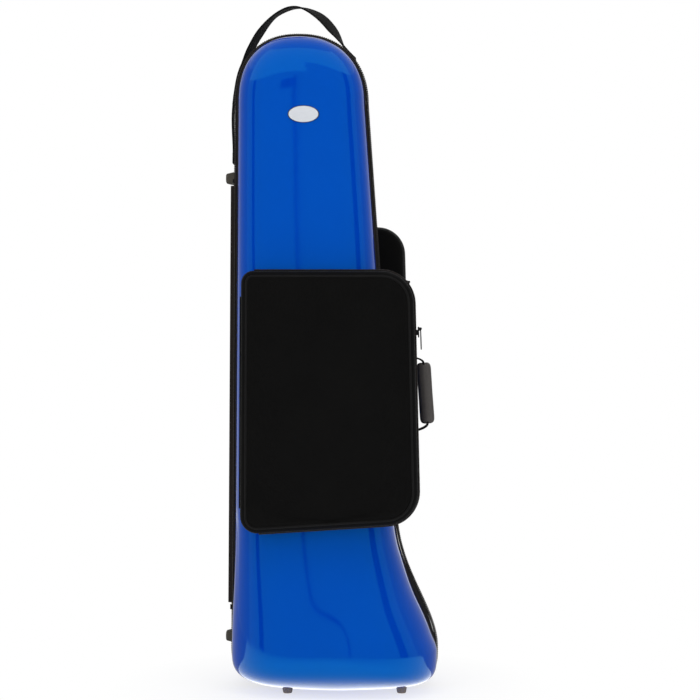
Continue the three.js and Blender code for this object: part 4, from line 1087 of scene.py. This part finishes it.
webLine = throughPoints([*map(onTail, web["tail"]), free(web["bow"]), *map(onDome, web["leftBase"]),
                         *map(free, web["loop"]), *map(onDome, web["rightBase"])], 160)
share = np.linspace(0, 1, len(webLine))
along = unit(np.gradient(webLine, axis=0))
turn = web["twist"] * smooth(0.64, 0.82, share) * (1 - smooth(0.84, 0.96, share))
turn -= web["leftTwist"] * smooth(0.34, 0.44, share) * (1 - smooth(0.5, 0.62, share))
up = inSpace(np.stack([-along[:, 2], along[:, 0]], -1))
wide = yAxis * np.cos(turn)[:, None] + np.cross(along, yAxis) * np.sin(turn)[:, None]
shape = band(webLine, web["width"], web["thick"], wide)
for k in (3, 38, 154):
    boxStitch(shape, webLine[k] + up[k] * (web["thick"] / 2 + 0.1), along[k], wide[k], up[k], 14, 19)
shape.make("carry_loop", [webCloth, thread], 60, "case", "webbing", "carry_webbing")
for name in ("web_base_tail", "web_base_left", "web_base_right", "handle_pad_high", "handle_pad_low"):
    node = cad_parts[name]
    node.data.materials.clear()
    node.data.materials.append(blackRubber)
    soften(node, 0.9, 3)
print("webbing loop ready")

# Side handle, drawn with X outward from its pivot line and Z along the side
handle = {
    "z": 412, "span": 53, "y": 29, "rise": 11, "gripRise": 50.7, "gripLength": 88,
    "gripThick": 21, "gripWidth": 27, "web": 25, "webThick": 2.4, "wire": 1.9, "linkLow": 5.2,
    "linkRise": 12.6, "linkLeg": 15.2, "knuckleLength": 8, "seat": 4.6, "plate": 1.6,
    "anchorWidth": 22, "anchorLength": 26,
    # height and how much is trimmed off, for one half of the grip
    "roll": [(44, 5.2), (43.4, 3.4), (42.1, 1.8), (40.1, 0.7), (37.5, 0.15), (34, 0), (18, 0.1)],
}
handlePlace = onRight(handle["z"], handle["y"], handle["rise"])
span, gripRise, seat = handle["span"], handle["gripRise"], handle["seat"]

eye = handle["wire"] + 0.35 + handle["webThick"] / 2
start, end = handle["linkRise"] + eye, handle["gripLength"] / 2
sewn = handle["webThick"] / 2 + 0.1
corner = np.array([(start + 3, span + sewn), (start + (gripRise - start) * 0.7, span + sewn / 2),
                   (gripRise, end + (span - end) * 0.5), (gripRise, end)])
t = np.linspace(0, 1, 24)[:, None]
bend = ((1 - t) ** 3 * corner[0] + 3 * t * (1 - t) ** 2 * corner[1] + 3 * t ** 2 * (1 - t) * corner[2]
        + t ** 3 * corner[3])
turnIn = arc(handle["linkRise"], span, eye, -radians(60), -radians(300), 18)
tail = [(start + x, span - sewn) for x in (15, 8, 3)]
halfLine = evenly(np.vstack([tail, turnIn, bend, [(gripRise, 0)]]), 110)[:-1]
shape = band(inSpace(np.vstack([halfLine, halfLine[::-1] * (1, -1)])), handle["web"], handle["webThick"])
for way in (1, -1):
    for x in (start + 5, start + 13):
        row = np.array([(x, y, way * (span + 2.5 * sewn)) for y in (-10.5, 10.5)])
        stitch(shape, row, zAxis * way, 2.8, 0.32)
shape.make("handle_band", [webCloth, thread], 60, "side_handle", "webbing", "handle_webbing",
           local=handlePlace)

# Grip: leather wrapped round a core, pinched and sewn along its inner edge
rows = []
for z, trimmed in [(-z, t) for z, t in handle["roll"]] + [(0, 0.25)] + handle["roll"][::-1]:
    halfX, halfY = handle["gripThick"] / 2 - trimmed, handle["gripWidth"] / 2 - trimmed
    upper = []
    for s in np.sin(np.linspace(-1, 1, 19) * np.pi / 2):
        bulge = (1 - abs(s) ** 3.2) ** (1 / 2.6)
        pinch = 1.7 * exp(-((s + 0.42) / 0.07) ** 2) + 0.9 * exp(-((s + 0.78) / 0.3) ** 2)
        upper.append((gripRise + s * halfX, max(halfY * bulge - pinch * (1 if trimmed < 3 else 0.3), 0.4)))
    rows.append([(x, y, z) for x, y in bothSides(upper)])
shape = Shape().solid(rows)
for way in (-1, 1):
    x, y = gripRise - 0.42 * handle["gripThick"] / 2, way * 10.95
    stitch(shape, np.array([(x, y, -39), (x, y, 39)]), yAxis * way, 3.6, 0.42)
grip = shape.make("handle_roll", [leather, thread], 60, "side_handle", "grip", "handle_grip",
                  local=handlePlace)

knuckle = [(2.0, 0.0), (3.1, 0.0), (3.5, 0.4), (3.5, 7.6), (3.1, 8.0), (2.0, 8.0)]
for z, label in [(span, "high"), (-span, "low")]:
    link = oblong((handle["linkLow"], -handle["linkLeg"]), (handle["linkRise"], handle["linkLeg"]), 2.6, 6)
    line = np.array([(x, y, z) for x, y in link])
    half = handle["knuckleLength"] / 2
    shape = Shape().loop(tubeRows(line, circle(handle["wire"], 14), zAxis, closed=True))
    shape.loop([[(r * cos(a), r * sin(a), z + h - half) for r, h in knuckle] for a in turns(24)])
    shape.make(f"handle_ring_{label}", blackMetal, 35, "side_handle", "dark_metal", f"handle_link_{label}",
               local=handlePlace)
    # Anchor: screwed plate with two ears and a headed pin
    w, l = handle["anchorWidth"] / 2, handle["anchorLength"] / 2
    plan = oblong((-w, z - l), (w, z + l), 4, 5)
    shape = Shape().solid(plateRows(plan, -seat - handle["plate"], -seat, 0.4))
    sunk = -seat - 0.6
    ear = rounded([(sunk, -3.6), (0, -3.6), (2.9, -2.4), (2.9, 2.4), (0, 3.6), (sunk, 3.6)], 2.4, 4)
    for side in (-1, 1):
        inner = z + side * (half + 0.35)
        shape.solid([[(a, b, h) for a, b in ear] for h in (inner, inner + side * 2)])
    head = [(1.2, -half - 2.9), (2.3, -half - 2.6), (2.3, -half - 2.2), (1.6, -half - 2.2)]
    shape.scatter(turned(head + [(r, -h) for r, h in head[::-1]], 20), [(0, 0, z)], [np.eye(3)])
    screw = turned([(2.3, -0.4), (2.3, 0.35), (1.6, 0.85), (0.9, 0.9), (0.85, 0.45)], 18)
    for y, h in [(-7.2, -8.6), (-7.2, 8.6), (7.2, -8.6), (7.2, 8.6)]:
        shape.scatter(screw, [(-seat, y, z + h)], [[yAxis, zAxis, xAxis]], 1)
    shape.make(f"handle_mount_{label}", [blackMetal, screwMetal], 35, "case", "dark_metal",
               f"handle_anchor_{label}", local=handlePlace)
print("side handle ready")

# Linings: the moulded foam keeps its bays, with soft plush edges
for name, node, body in [("back_lining", "back_insert", "case"), ("head_lining", "back_insert_head", "case"),
                         ("bell_lining", "back_insert_bell", "case"), ("front_lining", "front_insert", "lid"),
                         ("front_bell_lining", "front_insert_bell", "lid")]:
    piece = addObject(name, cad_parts[node].data.copy())
    piece.data.materials.clear()
    piece.data.materials.append(plush)
    remesh = piece.modifiers.new("remesh", "REMESH")
    remesh.mode, remesh.voxel_size = "VOXEL", 3.6 * mm
    relax = piece.modifiers.new("relax", "SMOOTH")
    relax.factor, relax.iterations = 0.5, 3
    made = bpy.data.meshes.new_from_object(piece.evaluated_get(bpy.context.evaluated_depsgraph_get()))
    piece.modifiers.clear()
    piece.data = made
    made.shade_smooth()
    settle(piece, body, "plush", node)


# Corners of a solid's box in the case's own millimetres
def boxOf(node):
    return np.array(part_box(node)) / mm - shift


# Straps that lie over the bays, with sewn ends
for name, node, body, side in [("bell_hold", "bell_strap", "case", 1),
                               ("slide_hold_high", "slide_strap_high", "lid", -1),
                               ("slide_hold_low", "slide_strap_low", "lid", -1)]:
    low, high = boxOf(node)
    (_, y, z), (length, thick, width) = (low + high) / 2, high - low
    shape = band(np.linspace((low[0], y, z), (high[0], y, z), 40), width, thick, zAxis)
    for x in (low[0] + 9, high[0] - 9):
        boxStitch(shape, np.array([x, y - side * (thick / 2 + 0.1), z]), xAxis, zAxis, yAxis * -side, 11, 18)
    shape.make(name, [webCloth, thread], 60, body, "webbing", node)

# Lid of the accessory box, with its pull tab
low, high = boxOf("accessory_lid_panel")
(x, _, z), (w, _, l) = (low + high) / 2, (high - low) / 2
rows = []
for y, trimmed in [(low[1] + 0.4, 6), (low[1], 3.5), (low[1] + 0.15, 1.5), (low[1] + 0.9, 0.3),
                   (low[1] + 1.5, 0), (high[1] - 0.9, 0.2), (high[1] - 0.2, 1.4), (high[1], 4)]:
    ring = oblong((trimmed - w, trimmed - l), (w - trimmed, l - trimmed), 19 - trimmed, 8)
    rows.append(inSpace(ring + (x, z), y))
shape = Shape().solid(rows)
ring = oblong((4 - w, 4 - l), (w - 4, l - 4), 15, 8) + (x, z)
stitch(shape, inSpace(np.vstack([ring, ring[:1]]), low[1]), -yAxis, 4.0, 0.3)
boxLid = shape.make("accessory_flap", [plush, thread], 50, "case", "plush", "accessory_lid_panel")
low, high = boxOf("accessory_lid_tab")
(x, y, _), (width, thick, _) = (low + high) / 2, high - low
shape = band(np.linspace((x, y, low[2]), (x, y, high[2]), 20), width, thick, xAxis)
shape.make("accessory_pull", webCloth, 60, "case", "webbing", "accessory_lid_tab")
print("inside ready")

# Studio: pale floor, soft boxes, a white surround, and the dark flags and ceiling that the gloss shows
studio = {
    "fill": 0.4, "floor": (0.86, 0.86, 0.87), "floorGlow": 0.35, "clear": (-0.15, 0.32),
    "camera": (26.6, -2497, 478.4), "lens": 89.9,
    # place, width, height, level
    "boxes": [
        ((-1500, -2100, 900), 1300, 1900, 1.7), ((1500, -2000, 1000), 1200, 1900, 1.7),
        ((0, -1300, 2300), 1900, 1100, 1.5), ((300, 1900, 1500), 1800, 1300, 1.4),
    ],
    # name, from and to in degrees round the camera side, low, high, level
    "flagRadius": 3000,
    "flags": [("column", -3.7, -2.9, 0, 1750, 0.0), ("left", -57, -49, 0, 1900, 0.05),
              ("right", 44, 58, 0, 2600, 0.05), ("beam", -10, -3.7, 1400, 1640, 0.1),
              ("ceilingLeft", -75, 0, 1930, 6500, 2.0), ("ceilingRight", 0, 75, 2600, 6500, 2.0),
              ("sideLeft", -155, -78, 0, 2600, 0.6), ("sideRight", 78, 155, 0, 2600, 0.6)],
    # name, from and to, level, share of it that is left far out
    "ground": [("groundFront", -84, 84, 2.4, 0.6), ("groundBack", 84, 276, 0.5, 1.0)],
}


def rays(s):
    seen, glossy, through = [s.node("LightPath", output=f"Is {kind} Ray")
                             for kind in ("Camera", "Glossy", "Transmission")]
    return (seen + glossy + through).clamp()


white, black = (1.0, 1.0, 1.0), (0.0, 0.0, 0.0)
world = bpy.data.worlds.new("studio")
world.use_nodes = True
bpy.context.scene.world = world
s = Shader(world.node_tree)
seen = rays(s)
light = s.node("Background", {}, {"Color": white, "Strength": seen + (1 - seen) * studio["fill"]})
s.node("OutputWorld", {}, {"Surface": light})

# The floor clears to white away from the object and keeps its shadow near it
floorPaint, s = newPaint("paleFloor")
near, far = studio["clear"]
away = ((s.distance() - near) / (far - near)).clamp()
cloth = s.node("BsdfPrincipled", {}, {
    "Base Color": s.blend(s.noise(3, 2, 0.5), studio["floor"], (0.88, 0.88, 0.88)), "Roughness": 0.9,
    "Specular IOR Level": 0.0, "Emission Color": s.blend(rays(s), black, white),
    "Emission Strength": studio["floorGlow"],
})
clear = s.node("Emission", {}, {"Color": white, "Strength": 1.0})
s.node("OutputMaterial", {}, {"Surface": s.node("MixShader", {}, {0: rays(s) * away, 1: cloth, 2: clear})})

floorMesh = bpy.data.meshes.new("floor")
floorMesh.from_pydata([(-14, -14, 0), (14, -14, 0), (14, 14, 0), (-14, 14, 0)], [], [(0, 1, 2, 3)])
floorMesh.materials.append(floorPaint)
floor = addObject("floor", floorMesh)
floor.location.z = -0.0002


# A glowing strip round the object between two (radius, height) edges, unseen but for its reflection
def flagSheet(name, start, end, steps, edges, level, far=1.0):
    angle = np.radians(np.linspace(start, end, steps))
    mesh = bpy.data.meshes.new(f"flag_{name}")
    mesh.from_pydata([(r * sin(a), -r * cos(a), z) for r, z in edges for a in angle], [],
                     [(i, i + 1, i + steps + 1, i + steps) for i in range(steps - 1)])
    paint, s = newPaint(f"flag_{name}")
    fade = s.blend(((s.distance() - 0.35) / 1.6).clamp(), white, (far, far, far))
    s.node("OutputMaterial", {}, {"Surface": s.node("Emission", {}, {"Color": fade, "Strength": level})})
    mesh.materials.append(paint)
    flag = addObject(f"flag_{name}", mesh)
    flag.visible_camera = flag.visible_diffuse = flag.visible_shadow = False


radius = studio["flagRadius"] * mm
for name, start, end, low, high, level in studio["flags"]:
    flagSheet(name, start, end, 24, [(radius, low * mm), (radius, high * mm)], level)
# Ground for the underside of the gloss: bright in front, fading with distance, and dim behind
for name, start, end, level, far in studio["ground"]:
    flagSheet(name, start, end, 48, [(0.02, 0.0003), (2.6, 0.0003)], level, far)

for k, (place, width, height, level) in enumerate(studio["boxes"]):
    lamp = bpy.data.lights.new(f"softBox{k}", "AREA")
    lamp.shape, lamp.size, lamp.size_y = "RECTANGLE", width * mm, height * mm
    lamp.energy = level * pi * width * height * mm * mm
    holder = addObject(f"softBox{k}", lamp)
    holder.location = Vector(place) * mm
    holder.visible_glossy = False
    aim = Vector((0, 0, 0.45)) - holder.location
    holder.rotation_euler = aim.to_track_quat("-Z", "Y").to_euler()

cameraData = bpy.data.cameras.new("camera")
cameraData.lens, cameraData.sensor_width = studio["lens"], 36
camera = addObject("camera", cameraData)
camera.location = Vector(studio["camera"]) * mm
camera.rotation_euler = (pi / 2, 0, 0)
bpy.context.scene.camera = camera
bpy.context.scene.view_settings.view_transform = "Standard"
print("studio ready")
